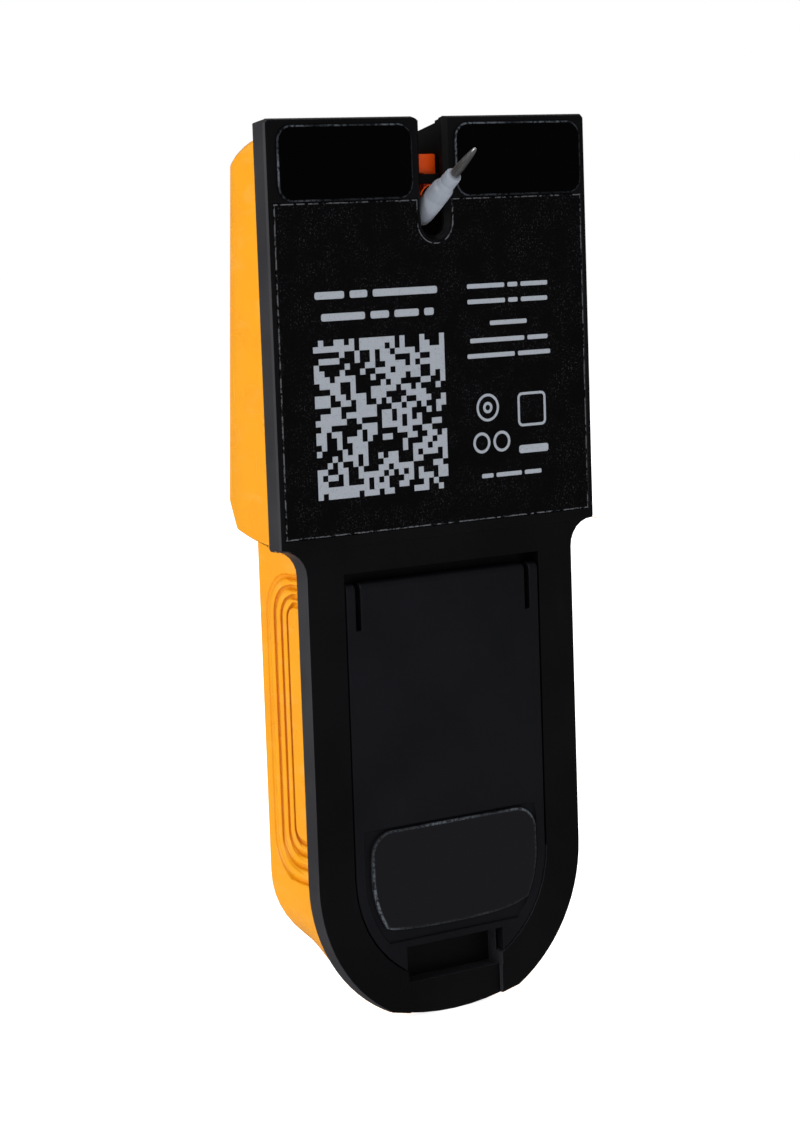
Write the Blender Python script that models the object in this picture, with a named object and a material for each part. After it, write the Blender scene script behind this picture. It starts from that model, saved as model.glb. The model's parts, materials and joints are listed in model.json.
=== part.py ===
"""Stud finder with a marker in its top notch: every piece as a closed solid, in metres.

Lengths below are millimetres. Y is depth, measured from the rear label face, until settle()
moves the assembly over its origin. X is to the right seen from the rear. Z runs up the body.
"""

import math

import bmesh
import bpy
from mathutils import Matrix, Vector

MM = 0.001

# Overall envelope
NIB_REACH = 14.85
NIB_EDGE = 0.065
BODY_DEPTH = 28.5
SEAM_Y = 4.2
BACK_STEP = 0.3

# Head plate and handle outline
HEAD_HALF = 40.0
HEAD_TOP = 187.8
EAR_Z = 101.5
HANDLE_HALF = 33.8
HANDLE_CENTRE_Z = 31.7
TRUNC_RADIUS = 60.0
TRUNC_HALF = 16.5
EAR_FILLET = 5.6
TOP_SLOPE = 0.23

# Battery door, its hinge and the finger recess
DOOR_TOP = 92.0
DOOR_HALF = 24.4
OPENING_HALF = 24.8
OPENING_TOP = 95.7
DOOR_BOTTOM = 15.65
TAIL_BOTTOM = 10.5
LATCH_HALF = 12.2
DOOR_INNER_Y = 2.4
HINGE_Y = 1.9
HINGE_Z = 92.0
HINGE_RADIUS = 1.6
PIN_RADIUS = 0.8
SLIT_X = 21.55
SLIT_HALF = 0.65
POCKET_BOTTOM = 7.6
POCKET_TOP = 18.5
POCKET_FLOOR = 5.5

# Notch and marker
NOTCH_X = 0.55
NOTCH_HALF = 3.55
LIP_HALF = 2.9
LIP_BEVEL = 0.95
LIP_DEPTH = 2.0
NOTCH_CENTRE_Z = 166.3
CHEEK = 1.5
AXIS_OUT = Vector((0.0, -0.84, 0.5426)).normalized()
TIP = Vector((NOTCH_X, -NIB_REACH, 180.6))
MARKER_LENGTH = 23.0
DRIVE_PIN = Vector((NOTCH_X, 5.3, 170.1))
CARRIER_FACE = 3.7
STOP_BAR_Y = 3.35
FACE_LEAN = math.atan2(5.2, 56.0)

# Display face, tilted back towards the top
FACE_LOW_Y = 26.4
FACE_LOW_Z = 115.0
FACE_SLOPE = 5.2 / 56.0

# Boards and battery
BOARD_Y = 12.4
BOARD_THICK = 1.6
BATTERY_HALF = 13.25
BATTERY_Y = (4.6, 22.0)
BATTERY_Z = (28.0, 74.4)
DISPLAY_Z = 135.9
SELECTOR_Z = 108.0
SCAN_Z = 96.0

CASE_SCREWS = {
    "case_screw_top_left": (-30.0, 177.0),
    "case_screw_top_right": (30.0, 177.0),
    "case_screw_low_left": (-33.0, 110.0),
    "case_screw_low_right": (33.0, 110.0),
}
BOARD_POSTS = ((-29.0, 147.0), (29.0, 147.0), (-24.0, 90.0), (24.0, 90.0))

# Rings of the front shell: half width, bottom z, top z, y at bottom, y at top, corner radius
HEAD_RINGS = (
    (39.6, 102.4, 183.8, 4.4, 4.4, 0.9),
    (39.5, 102.4, 183.7, 6.3, 6.1, 0.9),
    (39.2, 103.0, 182.7, 11.5, 9.4, 0.9),
    (38.9, 103.6, 181.3, 14.8, 12.8, 0.9),
    (38.2, 104.5, 180.4, 19.6, 15.2, 0.9),
    (37.8, 109.9, 179.6, 22.7, 16.9, 0.9),
    (33.5, 112.5, 174.8, 25.2, 19.8, 3.6),
    (29.5, 115.0, 171.0, 26.4, 21.2, 5.0),
)
HEAD_CAVITY = (
    (37.6, 104.4, 181.6, 3.0, 3.0, 1.0),
    (37.5, 104.4, 181.5, 6.3, 6.0, 1.2),
    (37.2, 105.0, 180.2, 11.3, 9.2, 1.6),
    (37.0, 105.6, 178.7, 14.0, 12.2, 2.0),
    (36.3, 107.0, 177.3, 17.0, 13.6, 2.4),
    (35.4, 112.0, 175.6, 18.9, 14.4, 3.4),
    (32.0, 114.4, 172.4, 22.6, 17.6, 4.4),
    (28.4, 116.8, 169.2, 24.2, 19.2, 5.0),
)

# Rings of the handle: y, half width, depth of the rounded bottom below its centre
HANDLE_RINGS = (
    (4.4, 33.5, 33.5),
    (7.0, 33.4, 31.2),
    (10.0, 33.25, 28.4),
    (14.0, 33.05, 25.4),
    (17.0, 32.9, 24.1),
    (20.6, 32.7, 22.8),
    (22.9, 30.6, 20.6),
    (24.6, 25.5, 16.4),
    (25.5, 17.0, 9.0),
)
HANDLE_CAVITY = (
    (3.0, 31.5, 29.3),
    (7.0, 31.35, 28.4),
    (10.0, 31.15, 26.0),
    (14.0, 30.8, 23.0),
    (17.0, 30.2, 21.8),
    (19.0, 29.2, 20.4),
    (21.2, 26.8, 17.8),
    (22.6, 23.0, 14.2),
    (23.5, 15.6, 7.4),
)
HANDLE_TOP = 114.0
CAVITY_TOP = 116.0

# Grip rings on each flank: outermost depth, top z, bottom z, corner radius
GRIP_RINGS = (
    (17.6, 96.0, 31.5, 9.0),
    (14.6, 93.9, 34.6, 7.0),
    (11.9, 92.0, 37.4, 5.4),
    (9.6, 90.3, 39.8, 3.6),
)

# The fillet under the head: y, corner x, corner z, radius
EAR_GUSSET = (
    (4.4, 33.5, 101.9, 5.8),
    (12.0, 33.15, 103.1, 4.2),
    (19.0, 32.8, 104.3, 2.6),
)

# The hood over the marker: y, half width, bottom z, top z, corner radius
HOOD_RINGS = (
    (15.0, 11.4, 152.6, 178.4, 2.0),
    (24.4, 10.4, 153.5, 174.9, 2.6),
    (26.2, 9.0, 154.8, 173.1, 3.0),
)
HOOD_CAVITY = (
    (14.0, 9.2, 154.4, 175.8, 1.0),
    (23.0, 8.5, 155.3, 173.2, 1.4),
    (24.4, 7.8, 155.9, 172.0, 1.6),
)

GRIP_GROOVE = 1.0
GRIP_FLOOR = 1.35


def clear_scene():
    """Removes whatever the scene starts with."""
    for obj in list(bpy.data.objects):
        bpy.data.objects.remove(obj)


def material(name, colour, roughness, metallic=0.0, alpha=1.0):
    """A Principled material of one colour."""
    made = bpy.data.materials.new(name)
    made.use_nodes = True
    shader = made.node_tree.nodes["Principled BSDF"]
    shader.inputs["Base Color"].default_value = (*colour, 1.0)
    shader.inputs["Roughness"].default_value = roughness
    shader.inputs["Metallic"].default_value = metallic
    shader.inputs["Alpha"].default_value = alpha
    return made


def loft(rings):
    """A closed bmesh through rings of equal length, capped at both ends."""
    bm = bmesh.new()
    rows = [[bm.verts.new(point) for point in ring] for ring in rings]
    count = len(rows[0])
    for low, high in zip(rows, rows[1:]):
        for i in range(count):
            j = (i + 1) % count
            bm.faces.new((low[i], low[j], high[j], high[i]))
    bm.faces.new(rows[0][::-1])
    bm.faces.new(rows[-1])
    bmesh.ops.recalc_face_normals(bm, faces=bm.faces)
    return bm


def slab(outline, y0, y1):
    """A prism of an (x, z) outline between two depths."""
    return loft([[(x, y, z) for x, z in outline] for y in (y0, y1)])


def box(x0, x1, y0, y1, z0, z1):
    """An axis-aligned block."""
    return slab(((x0, z0), (x1, z0), (x1, z1), (x0, z1)), y0, y1)


def circle(radius, steps, x=0.0, z=0.0):
    """Points of a circle in the (x, z) plane."""
    turns = [2.0 * math.pi * i / steps for i in range(steps)]
    return [(x + radius * math.cos(a), z + radius * math.sin(a)) for a in turns]


def disc(radius, y0, y1, x=0.0, z=0.0, steps=20):
    """A cylinder running along Y."""
    return slab(circle(radius, steps, x, z), y0, y1)


def lathe(profile, steps=20):
    """A turned solid about +Z from (radius, z) pairs, lowest first."""
    rings = []
    for radius, z in profile:
        rings.append([(x, y, z) for x, y in circle(radius, steps)])
    return loft(rings)


def aimed(bm, origin, direction):
    """Turns a solid built about +Z to run along a direction from an origin."""
    turn = Vector((0.0, 0.0, 1.0)).rotation_difference(direction)
    place = Matrix.Translation(origin) @ turn.to_matrix().to_4x4()
    bmesh.ops.transform(bm, matrix=place, verts=bm.verts)
    return bm


def rounded(x0, x1, z0, z1, radius, steps=4):
    """A rectangle with rounded corners, as (x, z) points."""
    points = []
    corners = ((x1, z1, 0), (x0, z1, 90), (x0, z0, 180), (x1, z0, 270))
    for x, z, start in corners:
        cx = x - radius if x == x1 else x + radius
        cz = z - radius if z == z1 else z + radius
        for i in range(steps + 1):
            a = math.radians(start + 90.0 * i / steps)
            points.append((cx + radius * math.cos(a), cz + radius * math.sin(a)))
    return points


def inset(outline, amount):
    """The outline moved inwards by an amount; the outline runs anticlockwise."""
    moved = []
    count = len(outline)
    for i, point in enumerate(outline):
        here = Vector(point)
        before = (here - Vector(outline[i - 1])).normalized()
        after = (Vector(outline[(i + 1) % count]) - here).normalized()
        normal = Vector((-before.y - after.y, before.x + after.x)).normalized()
        reach = max(0.35, normal.dot(Vector((-before.y, before.x))))
        moved.append(tuple(here + normal * (amount / reach)))
    return moved


def faced(bm, z):
    """Moves a solid built at the origin, facing +Y, on to the display face at height z."""
    place = Matrix.Translation((0.0, face_y(z), z)) @ Matrix.Rotation(FACE_LEAN, 4, "X")
    bmesh.ops.transform(bm, matrix=place, verts=bm.verts)
    return bm


def face_y(z):
    """Depth of the display face at height z."""
    return FACE_LOW_Y - (z - FACE_LOW_Z) * FACE_SLOPE


def scratch(bm):
    """A hidden helper object that holds a bmesh."""
    bmesh.ops.scale(bm, vec=(MM, MM, MM), verts=bm.verts)
    mesh = bpy.data.meshes.new("scratch")
    bm.to_mesh(mesh)
    bm.free()
    helper = bpy.data.objects.new("scratch", mesh)
    helper.hide_render = True
    helper.display_type = "WIRE"
    bpy.context.scene.collection.objects.link(helper)
    return helper


def carve(base, steps):
    """Applies (operation, bmesh) pairs to a bmesh in order and returns the helper object."""
    body = scratch(base)
    for operation, tool in steps:
        other = scratch(tool) if isinstance(tool, bmesh.types.BMesh) else tool
        modifier = body.modifiers.new("carve", "BOOLEAN")
        modifier.operation = operation
        modifier.solver = "EXACT"
        modifier.object = other
        graph = bpy.context.evaluated_depsgraph_get()
        body.data = bpy.data.meshes.new_from_object(body.evaluated_get(graph))
        body.modifiers.clear()
        bpy.data.objects.remove(other)
    return body


def piece(name, shape, finish, origin=(0.0, 0.0, 0.0), smooth=None):
    """Makes a visible node of a bmesh or a carved helper, with its origin where it turns."""
    source = scratch(shape) if isinstance(shape, bmesh.types.BMesh) else shape
    source.data.transform(Matrix.Translation(-Vector(origin) * MM))
    made = bpy.data.objects.new(name, source.data)
    made.location = Vector(origin) * MM
    made.data.name = name
    made.data.materials.clear()
    made.data.materials.append(finish)
    if smooth is not None:
        made.data.shade_smooth()
        made.data.set_sharp_from_angle(angle=math.radians(smooth))
    bpy.context.scene.collection.objects.link(made)
    bpy.data.objects.remove(source)
    return made


def cuts(*tools):
    """Difference steps for carve()."""
    return [("DIFFERENCE", tool) for tool in tools]


def joins(*tools):
    """Union steps for carve()."""
    return [("UNION", tool) for tool in tools]


# ---------------------------------------------------------------- outlines


def trunc_z(x, lift=0.0):
    """Height of the shallow arc that ends the handle."""
    return TRUNC_RADIUS - math.sqrt(TRUNC_RADIUS**2 - x * x) + lift


def bottom_curve(half, steps=14):
    """The right half of the handle's lower edge, from its side down to the middle."""
    start = math.acos(TRUNC_HALF / half)
    turns = [start * i / steps for i in range(steps + 1)]
    side = [(half * math.cos(a), HANDLE_CENTRE_Z - half * math.sin(a)) for a in turns]
    spots = [TRUNC_HALF * i / 4.0 for i in (3, 2, 1, 0)]
    return side + [(x, trunc_z(x)) for x in spots]


def ear_fillet(steps=6):
    """The concave curve between the handle and the head plate, on +X, from the ear down."""
    points = []
    for i in range(steps + 1):
        a = math.radians(90.0 + 90.0 * i / steps)
        x = HANDLE_HALF + EAR_FILLET + EAR_FILLET * math.cos(a)
        points.append((x, EAR_Z - EAR_FILLET + EAR_FILLET * math.sin(a)))
    return points


def rear_outline():
    """The whole rear shell, anticlockwise seen with x right and z up."""
    head = [(HEAD_HALF - 0.8, HEAD_TOP), (HEAD_HALF, HEAD_TOP - 0.8)]
    ear = [(HEAD_HALF, EAR_Z + 0.5), (HEAD_HALF - 0.3, EAR_Z)]
    right = head + ear + ear_fillet() + bottom_curve(HANDLE_HALF)
    left = [(-x, z) for x, z in reversed(right[:-1])]
    return (right + left)[::-1]


def u_outline(half, top, steps=20):
    """A U seen from the rear: straight sides, a round bottom, a flat top."""
    turns = [math.pi * i / steps for i in range(steps + 1)]
    curve = [(-half * math.cos(a), HANDLE_CENTRE_Z - half * math.sin(a)) for a in turns]
    return curve + [(half, top), (-half, top)]


def handle_ring(y, half, drop, top, lift):
    """One ring of the handle's loft."""
    points = []
    for i in range(29):
        a = math.pi * i / 28.0
        x = -half * math.cos(a)
        z = HANDLE_CENTRE_Z - drop * math.sin(a)
        points.append((x, y, max(z, trunc_z(x, lift))))
    points += [(half, y, top), (-half, y, top)]
    return points


def head_ring(half, low, high, y_low, y_high, radius):
    """One ring of the head's loft; its plane leans with the display face."""
    lean = (y_high - y_low) / (high - low)
    outline = rounded(-half, half, low, high, radius, 3)
    return [(x, y_low + lean * (z - low), z) for x, z in outline]


# ---------------------------------------------------------------- shells


def at_notch(bm):
    """Moves a solid that was built about x = 0 on to the notch's centre line."""
    bmesh.ops.translate(bm, vec=(NOTCH_X, 0.0, 0.0), verts=bm.verts)
    return bm


def notch_curve(half):
    """The notch's round bottom, from left to right."""
    turns = [math.pi * i / 12.0 for i in range(13)]
    return [(-half * math.cos(a), NOTCH_CENTRE_Z - half * math.sin(a)) for a in turns]


def notch_cutter(half, y0, y1):
    """The slot with a round bottom that the marker comes out of."""
    return at_notch(slab(notch_curve(half) + [(half, 195.0), (-half, 195.0)], y0, y1))


def notch_bevel():
    """The sloping lip round the notch on the rear face."""
    rings = []
    for half, y in ((LIP_HALF + LIP_BEVEL, -0.01), (LIP_HALF, LIP_BEVEL)):
        rings.append([(x, y, z) for x, z in notch_curve(half) + [(half, 190.0), (-half, 190.0)]])
    return at_notch(loft(rings))


def mouth_chamfer():
    """Takes the corner off the left side of the notch's mouth."""
    return at_notch(slab(((-5.8, 188.2), (-3.6, 186.95), (-2.0, 186.95), (-2.0, 188.2)), -1.0, 5.0))


def cheeks():
    """The deep walls of the notch, with their tops sloping to the front."""
    outer = NOTCH_HALF + CHEEK
    top = HEAD_TOP - 0.4
    profile = ((2.0, 151.0), (14.0, 151.0), (14.0, top - 14.0 * TOP_SLOPE), (2.0, top - 0.46))
    return at_notch(loft([[(x, y, z) for y, z in profile] for x in (-outer, outer)]))


def stop_bar():
    """The bar across the notch that the carrier stops against."""
    reach = NOTCH_HALF + 0.5
    return at_notch(box(-reach, reach, LIP_DEPTH + 0.2, STOP_BAR_Y, 174.0, 176.0))


def top_slope_cutter():
    """Takes the rear plate's top edge down towards the front."""
    profile = ((0.9, 188.5), (0.9, 187.6), (5.0, 186.7), (5.0, 188.5))
    return loft([[(x, y, z) for y, z in profile] for x in (-41.0, 41.0)])


def screw_seat(x, z):
    """Counterbore and clearance hole of one case screw."""
    return [disc(3.1, -0.6, 2.2, x, z), disc(1.6, 2.0, 5.0, x, z, 12)]


def pin_track():
    """The slot in the right cheek that the carriage's drive pin runs in."""
    track = loft([[(x, y, z) for x, y in ((2.5, -1.35), (8.0, -1.35), (8.0, 1.35), (2.5, 1.35))]
                  for z in (-20.0, 1.35)])
    return aimed(track, DRIVE_PIN, AXIS_OUT)


def hinge_trough():
    """The room that the door's rolled edge turns in, with a floor behind it."""
    return box(-24.8, 24.8, -1.0, 3.9, 89.9, OPENING_TOP)


def build_rear_shell(finish):
    """The black plate and frame that lie against the wall."""
    outline = rear_outline()
    rings = []
    for amount, y in ((0.45, 0.0), (0.1, 0.5), (0.0, 2.0), (0.0, SEAM_Y)):
        rings.append([(x, y, z) for x, z in inset(outline, amount)])
    hollow = box(-37.6, 37.6, 2.2, 5.0, 105.0, 150.0)
    sides = ((-37.6, NOTCH_X - 5.05), (NOTCH_X + 5.05, 37.6))
    upper = [box(a, b, 2.2, 5.0, 150.0, 182.0) for a, b in sides]
    steps = cuts(hollow, *upper)
    steps += joins(*[disc(4.4, 1.5, SEAM_Y, x, z) for x, z in CASE_SCREWS.values()])
    steps += joins(cheeks())
    steps += cuts(box(-45.0, 45.0, -1.0, BACK_STEP, -5.0, EAR_Z))
    steps += cuts(slab(label_outline(0.15), -1.0, 0.3))
    steps += cuts(slab(u_outline(OPENING_HALF, OPENING_TOP), -1.0, 2.8))
    steps += joins(bridge_block())
    steps += cuts(box(-17.5, 17.5, 2.0, 5.0, 22.0, 86.0))
    steps += joins(box(-13.4, 13.4, 3.0, 6.6, 6.4, 19.7))
    steps += cuts(box(-LATCH_HALF, LATCH_HALF, -1.0, POCKET_FLOOR, POCKET_BOTTOM, POCKET_TOP))
    steps += cuts(box(-12.0, 12.0, -1.0, 1.3, -2.0, 8.0))
    steps += joins(box(-28.4, 28.4, 3.0, 5.2, 88.0, 97.4))
    steps += cuts(hinge_trough(), hinge_bore(), pin_track())
    steps += cuts(at_notch(box(-NOTCH_HALF, NOTCH_HALF, 3.4, 30.0, 152.3, 170.0)))
    steps += cuts(top_slope_cutter(), mouth_chamfer(), notch_bevel())
    steps += cuts(notch_cutter(LIP_HALF, -1.0, 3.0), notch_cutter(NOTCH_HALF, LIP_DEPTH, 30.0))
    steps += joins(stop_bar())
    for x, z in CASE_SCREWS.values():
        steps += cuts(*screw_seat(x, z))
    return piece("rear_shell", carve(loft(rings), steps), finish)


def bridge_block():
    """The frame that closes the bottom of the door opening, beside the finger recess."""
    return box(-12.1, 12.1, BACK_STEP, SEAM_Y, 4.0, DOOR_BOTTOM - 0.4)


def hinge_bore():
    """The blind holes that the door's pins turn in."""
    bore = lathe(((PIN_RADIUS + 0.3, -27.0), (PIN_RADIUS + 0.3, 27.0)), 12)
    return aimed(bore, Vector((0.0, HINGE_Y, HINGE_Z)), Vector((1.0, 0.0, 0.0)))


def grip_grooves(side):
    """Concentric grooves on one flank of the handle."""
    tools = []
    x0, x1 = sorted((side * (HANDLE_HALF - GRIP_FLOOR), side * 36.0))
    for depth, top, low, radius in GRIP_RINGS:
        outer = d_outline(depth + GRIP_GROOVE / 2.0, top, low, radius)
        inner = d_outline(depth - GRIP_GROOVE / 2.0, top - GRIP_GROOVE, low + GRIP_GROOVE, radius - 1.0)
        tools.append((flank_prism(outer, x0, x1), flank_prism(inner, x0 - 1.0, x1 + 1.0)))
    return [carve(outer, cuts(inner)) for outer, inner in tools]


def d_outline(depth, top, low, radius):
    """A long D on the flank, open side on the seam, as (y, z) points."""
    points = [(2.0, low), (depth - radius, low)]
    for i in range(1, 7):
        a = math.radians(-90.0 + 15.0 * i)
        points.append((depth - radius + radius * math.cos(a), low + radius + radius * math.sin(a)))
    for i in range(7):
        a = math.radians(15.0 * i)
        points.append((depth - radius + radius * math.cos(a), top - radius + radius * math.sin(a)))
    return points + [(2.0, top)]


def flank_prism(outline, x0, x1):
    """A prism of a (y, z) outline between two x positions."""
    return loft([[(x, y, z) for y, z in outline] for x in (x0, x1)])


def front_cavity():
    """The room inside the front shell, less its screw bosses and board posts."""
    rings = [handle_ring(y, a, b, CAVITY_TOP, 2.4) for y, a, b in HANDLE_CAVITY]
    head = loft([head_ring(*ring) for ring in HEAD_CAVITY])
    bosses = [disc(3.0, 4.5, 40.0, x, z, 16) for x, z in CASE_SCREWS.values()]
    posts = [disc(1.8, BOARD_Y + BOARD_THICK + 0.1, 40.0, x, z, 12) for x, z in BOARD_POSTS]
    return carve(head, joins(loft(rings), hood(HOOD_CAVITY)) + cuts(*bosses, *posts))


def hood(rings):
    """A block that tapers towards the front, for the hood or the room inside it."""
    made = []
    for y, half, low, high, radius in rings:
        made.append([(x, y, z) for x, z in rounded(-half, half, low, high, radius, 3)])
    return at_notch(loft(made))


def ear_gusset(side):
    """The fillet between one flank of the handle and the underside of the head."""
    rings = []
    for y, x, z, radius in EAR_GUSSET:
        turns = [math.pi * i / 12.0 for i in range(7)]
        arc = [(x + radius - radius * math.cos(a), z - radius + radius * math.sin(a)) for a in turns]
        outline = arc + [(x + radius, z + 1.0), (x - 0.8, z + 1.0), (x - 0.8, z - radius)]
        rings.append([(side * px, y, pz) for px, pz in outline])
    return loft(rings)


def build_front_shell(finish):
    """The yellow housing with the grips, the display face and the handle crown."""
    rings = [handle_ring(y, a, b, HANDLE_TOP, 0.3) for y, a, b in HANDLE_RINGS]
    steps = joins(loft(rings), hood(HOOD_RINGS)) + cuts(front_cavity())
    steps += cuts(at_notch(box(-5.35, 5.35, 3.0, 14.3, 168.0, 190.0)))
    steps += cuts(faced(box(-27.3, 27.3, -1.5, 3.0, -16.3, 16.3), DISPLAY_Z))
    steps += cuts(faced(box(-24.0, 24.0, -8.0, 3.0, -13.0, 13.0), DISPLAY_Z))
    steps += cuts(at_notch(box(-1.6, 1.6, 20.0, 28.0, 157.1, 170.5)))
    steps += cuts(box(-7.8, 7.8, 20.0, 28.0, SELECTOR_Z - 1.5, SELECTOR_Z + 1.5))
    steps += cuts(disc(6.8, 20.0, 28.0, 0.0, SCAN_Z, 28))
    steps += cuts(*[disc(1.75, 20.0, 30.0, x, 117.4, 12) for x in (-12.0, 0.0, 12.0)])
    steps += cuts(*[box(-15.5, -10.5, 20.0, 28.0, z, z + 0.9) for z in (94.2, 96.2, 98.2)])
    for side in (-1.0, 1.0):
        steps += joins(ear_gusset(side)) + cuts(*grip_grooves(side))
    steps += cuts(*[disc(1.4, 4.0, 12.5, x, z, 12) for x, z in CASE_SCREWS.values()])
    head = loft([head_ring(*ring) for ring in HEAD_RINGS])
    return piece("front_shell", carve(head, steps), finish)


# ---------------------------------------------------------------- rear trim and door


def label_outline(grow=0.0):
    """The label's edge, with a cut-out round the notch."""
    half, low, high = 38.4 + grow, 103.8 - grow, 170.9 + grow
    reach = LIP_HALF + LIP_BEVEL + 0.5 - grow
    scoop = [(x + NOTCH_X, z) for x, z in reversed(notch_curve(reach))]
    left = [(NOTCH_X - reach, high), (-half, high), (-half, low)]
    return left + [(half, low), (half, high), (NOTCH_X + reach, high)] + scoop


def build_label(finish):
    """The printed label on the rear face."""
    return piece("rear_label", slab(label_outline(), 0.0, 0.24), finish)


def build_glide_pads(finish):
    """The two smooth pads that slide on the wall."""
    for name, centre in (("glide_pad_left", -21.1), ("glide_pad_right", 22.1)):
        outline = rounded(centre - 16.2, centre + 16.2, 171.2, 186.3, 3.3, 5)
        piece(name, slab(outline, -0.45, -0.03), finish)


def door_outline():
    """The door's edge, with the tails that run down beside the finger recess."""
    turns = [math.pi * i / 32.0 for i in range(33)]
    curve = []
    for a in turns:
        x = -DOOR_HALF * math.cos(a)
        z = HANDLE_CENTRE_Z - DOOR_HALF * math.sin(a)
        if z > TAIL_BOTTOM:
            curve.append((x, z))
    half = len(curve) // 2
    tail = LATCH_HALF + 0.2
    foot = [(-tail, TAIL_BOTTOM), (-tail, DOOR_BOTTOM), (tail, DOOR_BOTTOM), (tail, TAIL_BOTTOM)]
    return curve[:half] + foot + curve[half:] + [(DOOR_HALF, DOOR_TOP), (-DOOR_HALF, DOOR_TOP)]


def door_pad_outline(shift, inner, low, high, radius):
    """A pad that follows the door's round lower edge."""
    points = []
    start = math.asin((HANDLE_CENTRE_Z - low) / inner)
    for i in range(13):
        a = start * (i / 12.0)
        points.append((-inner * math.cos(a) + shift, HANDLE_CENTRE_Z - inner * math.sin(a)))
    right = [(2.0 * shift - x, z) for x, z in reversed(points)]
    top = rounded(-inner + shift, inner + shift, low, high, radius, 5)[:12]
    return points + right + top


def build_door(finish):
    """The battery door with its rolled hinge edge, pins, slits and latch tongue."""
    hinge = Vector((0.0, HINGE_Y, HINGE_Z))
    across = Vector((1.0, 0.0, 0.0))
    barrel = aimed(lathe(((HINGE_RADIUS, -DOOR_HALF), (HINGE_RADIUS, DOOR_HALF)), 20), hinge, across)
    pins = aimed(lathe(((PIN_RADIUS, -26.6), (PIN_RADIUS, 26.6)), 12), hinge, across)
    steps = joins(barrel, pins, box(-8.0, 8.0, 2.0, 5.0, 16.3, 17.5))
    for side in (-SLIT_X, SLIT_X):
        steps += cuts(box(side - SLIT_HALF, side + SLIT_HALF, -1.0, 5.0, 83.7, 95.0))
    recess = door_pad_outline(0.0, 22.1, 17.2, 41.6, 0.3)
    steps += cuts(slab(recess, -1.0, BACK_STEP + 0.45))
    body = carve(slab(door_outline(), BACK_STEP, DOOR_INNER_Y), steps)
    return piece("battery_door", body, finish, tuple(hinge))


def build_door_pad(finish):
    """The soft pad stuck in the door's recess."""
    outline = door_pad_outline(0.55, 21.2, 18.4, 41.2, 4.6)
    pad = slab(outline, -0.15, BACK_STEP + 0.42)
    return piece("door_pad", pad, finish, (0.0, HINGE_Y, HINGE_Z))


# ---------------------------------------------------------------- marker


def along(distance):
    """A point on the marker's axis, measured inwards from the tip."""
    return TIP - AXIS_OUT * distance


def turned(profile, steps):
    """A solid turned about the marker's axis; its zero is the rear end of the marker."""
    return aimed(lathe(profile, steps), along(MARKER_LENGTH), AXIS_OUT)


def build_marker(metal, white, grey):
    """The fine-tipped marker: needle, nose and barrel."""
    rear = tuple(along(MARKER_LENGTH))
    nib = ((1.0, 14.1), (0.98, 15.5), (0.86, 18.0), (0.68, 20.3), (0.45, 22.2), (0.12, 23.0))
    piece("marker_nib", turned(nib, 16), metal, rear, 40)
    nose = ((2.3, -0.2), (2.45, 0.1), (2.42, 4.5), (2.24, 9.3), (1.84, 9.9), (1.74, 13.4), (1.35, 14.0))
    piece("marker_nose", turned(nose, 24), white, rear, 40)
    barrel = ((1.8, -1.45), (2.3, -1.2), (2.38, -0.3))
    piece("marker_barrel", turned(barrel, 20), grey, rear, 40)


def build_carriage(finish):
    """The orange carrier that grips the marker and is driven by the slider."""
    ring = turned(((3.05, -1.5), (3.05, 6.0)), 24)
    face = at_notch(box(-3.05, 3.05, CARRIER_FACE, CARRIER_FACE + 1.5, 176.2, 180.1))
    spine = at_notch(box(0.0, 3.05, CARRIER_FACE, 7.5, 169.5, 171.6))
    stem = at_notch(box(0.0, 3.05, CARRIER_FACE, CARRIER_FACE + 1.5, 169.5, 177.0))
    room = [box(-4.0, 4.0, -9.0, 9.0, 150.0, 171.6), box(-4.0, 4.0, -9.0, 1.1, 171.0, 190.0)]
    room += [box(a, b, -9.0, 2.4, 171.0, 190.0) for a, b in ((-4.0, -2.6), (2.6, 4.0))]
    pin = aimed(lathe(((1.0, 1.0), (1.0, 7.0)), 12), DRIVE_PIN, Vector((1.0, 0.0, 0.0)))
    bore = turned(((2.7, -3.0), (2.7, 12.0)), 20)
    steps = cuts(*[at_notch(tool) for tool in room]) + joins(face, spine, stem, pin) + cuts(bore)
    return piece("marker_carriage", carve(ring, steps), finish, tuple(along(MARKER_LENGTH)))


def build_ramp(finish):
    """The sloping block that the carriage runs on."""
    top = []
    for y in (4.8, 18.8):
        reach = (y + NIB_REACH) / -AXIS_OUT.y
        top.append((y, along(reach).z - 3.4 / -AXIS_OUT.y))
    profile = [top[0], top[1], (18.8, 152.6), (4.8, 152.6)]
    ramp = at_notch(loft([[(x, y, z) for y, z in profile] for x in (-3.2, 3.2)]))
    return piece("marker_ramp", ramp, finish)


def build_slider(finish):
    """The thumb slider on the hood, with the slotted arm that drives the carriage."""
    z = DRIVE_PIN.z - 1.2
    knob = slab(rounded(-6.0, 6.0, z - 3.4, z + 3.4, 1.4, 4), 26.5, 28.0)
    ridges = [box(-4.8, 4.8, 27.6, 28.5, z + h - 0.35, z + h + 0.35) for h in (-2.1, -0.7, 0.7, 2.1)]
    stem = box(-1.2, 1.2, 23.0, 26.8, z - 1.2, z + 1.2)
    bridge = box(-1.2, 6.65, 22.7, 23.9, z - 1.6, z + 1.6)
    arm = box(5.45, 6.65, 3.2, 23.9, z - 1.4, z + 3.0)
    slot = box(5.0, 6.9, 4.0, 22.4, DRIVE_PIN.z - 1.25, DRIVE_PIN.z + 1.25)
    for solid in (knob, *ridges, stem, bridge, arm, slot):
        at_notch(solid)
    body = carve(knob, joins(*ridges, stem, bridge, arm) + cuts(slot))
    return piece("marker_slider", body, finish, (NOTCH_X, 26.5, z))


# ---------------------------------------------------------------- display and controls


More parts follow.
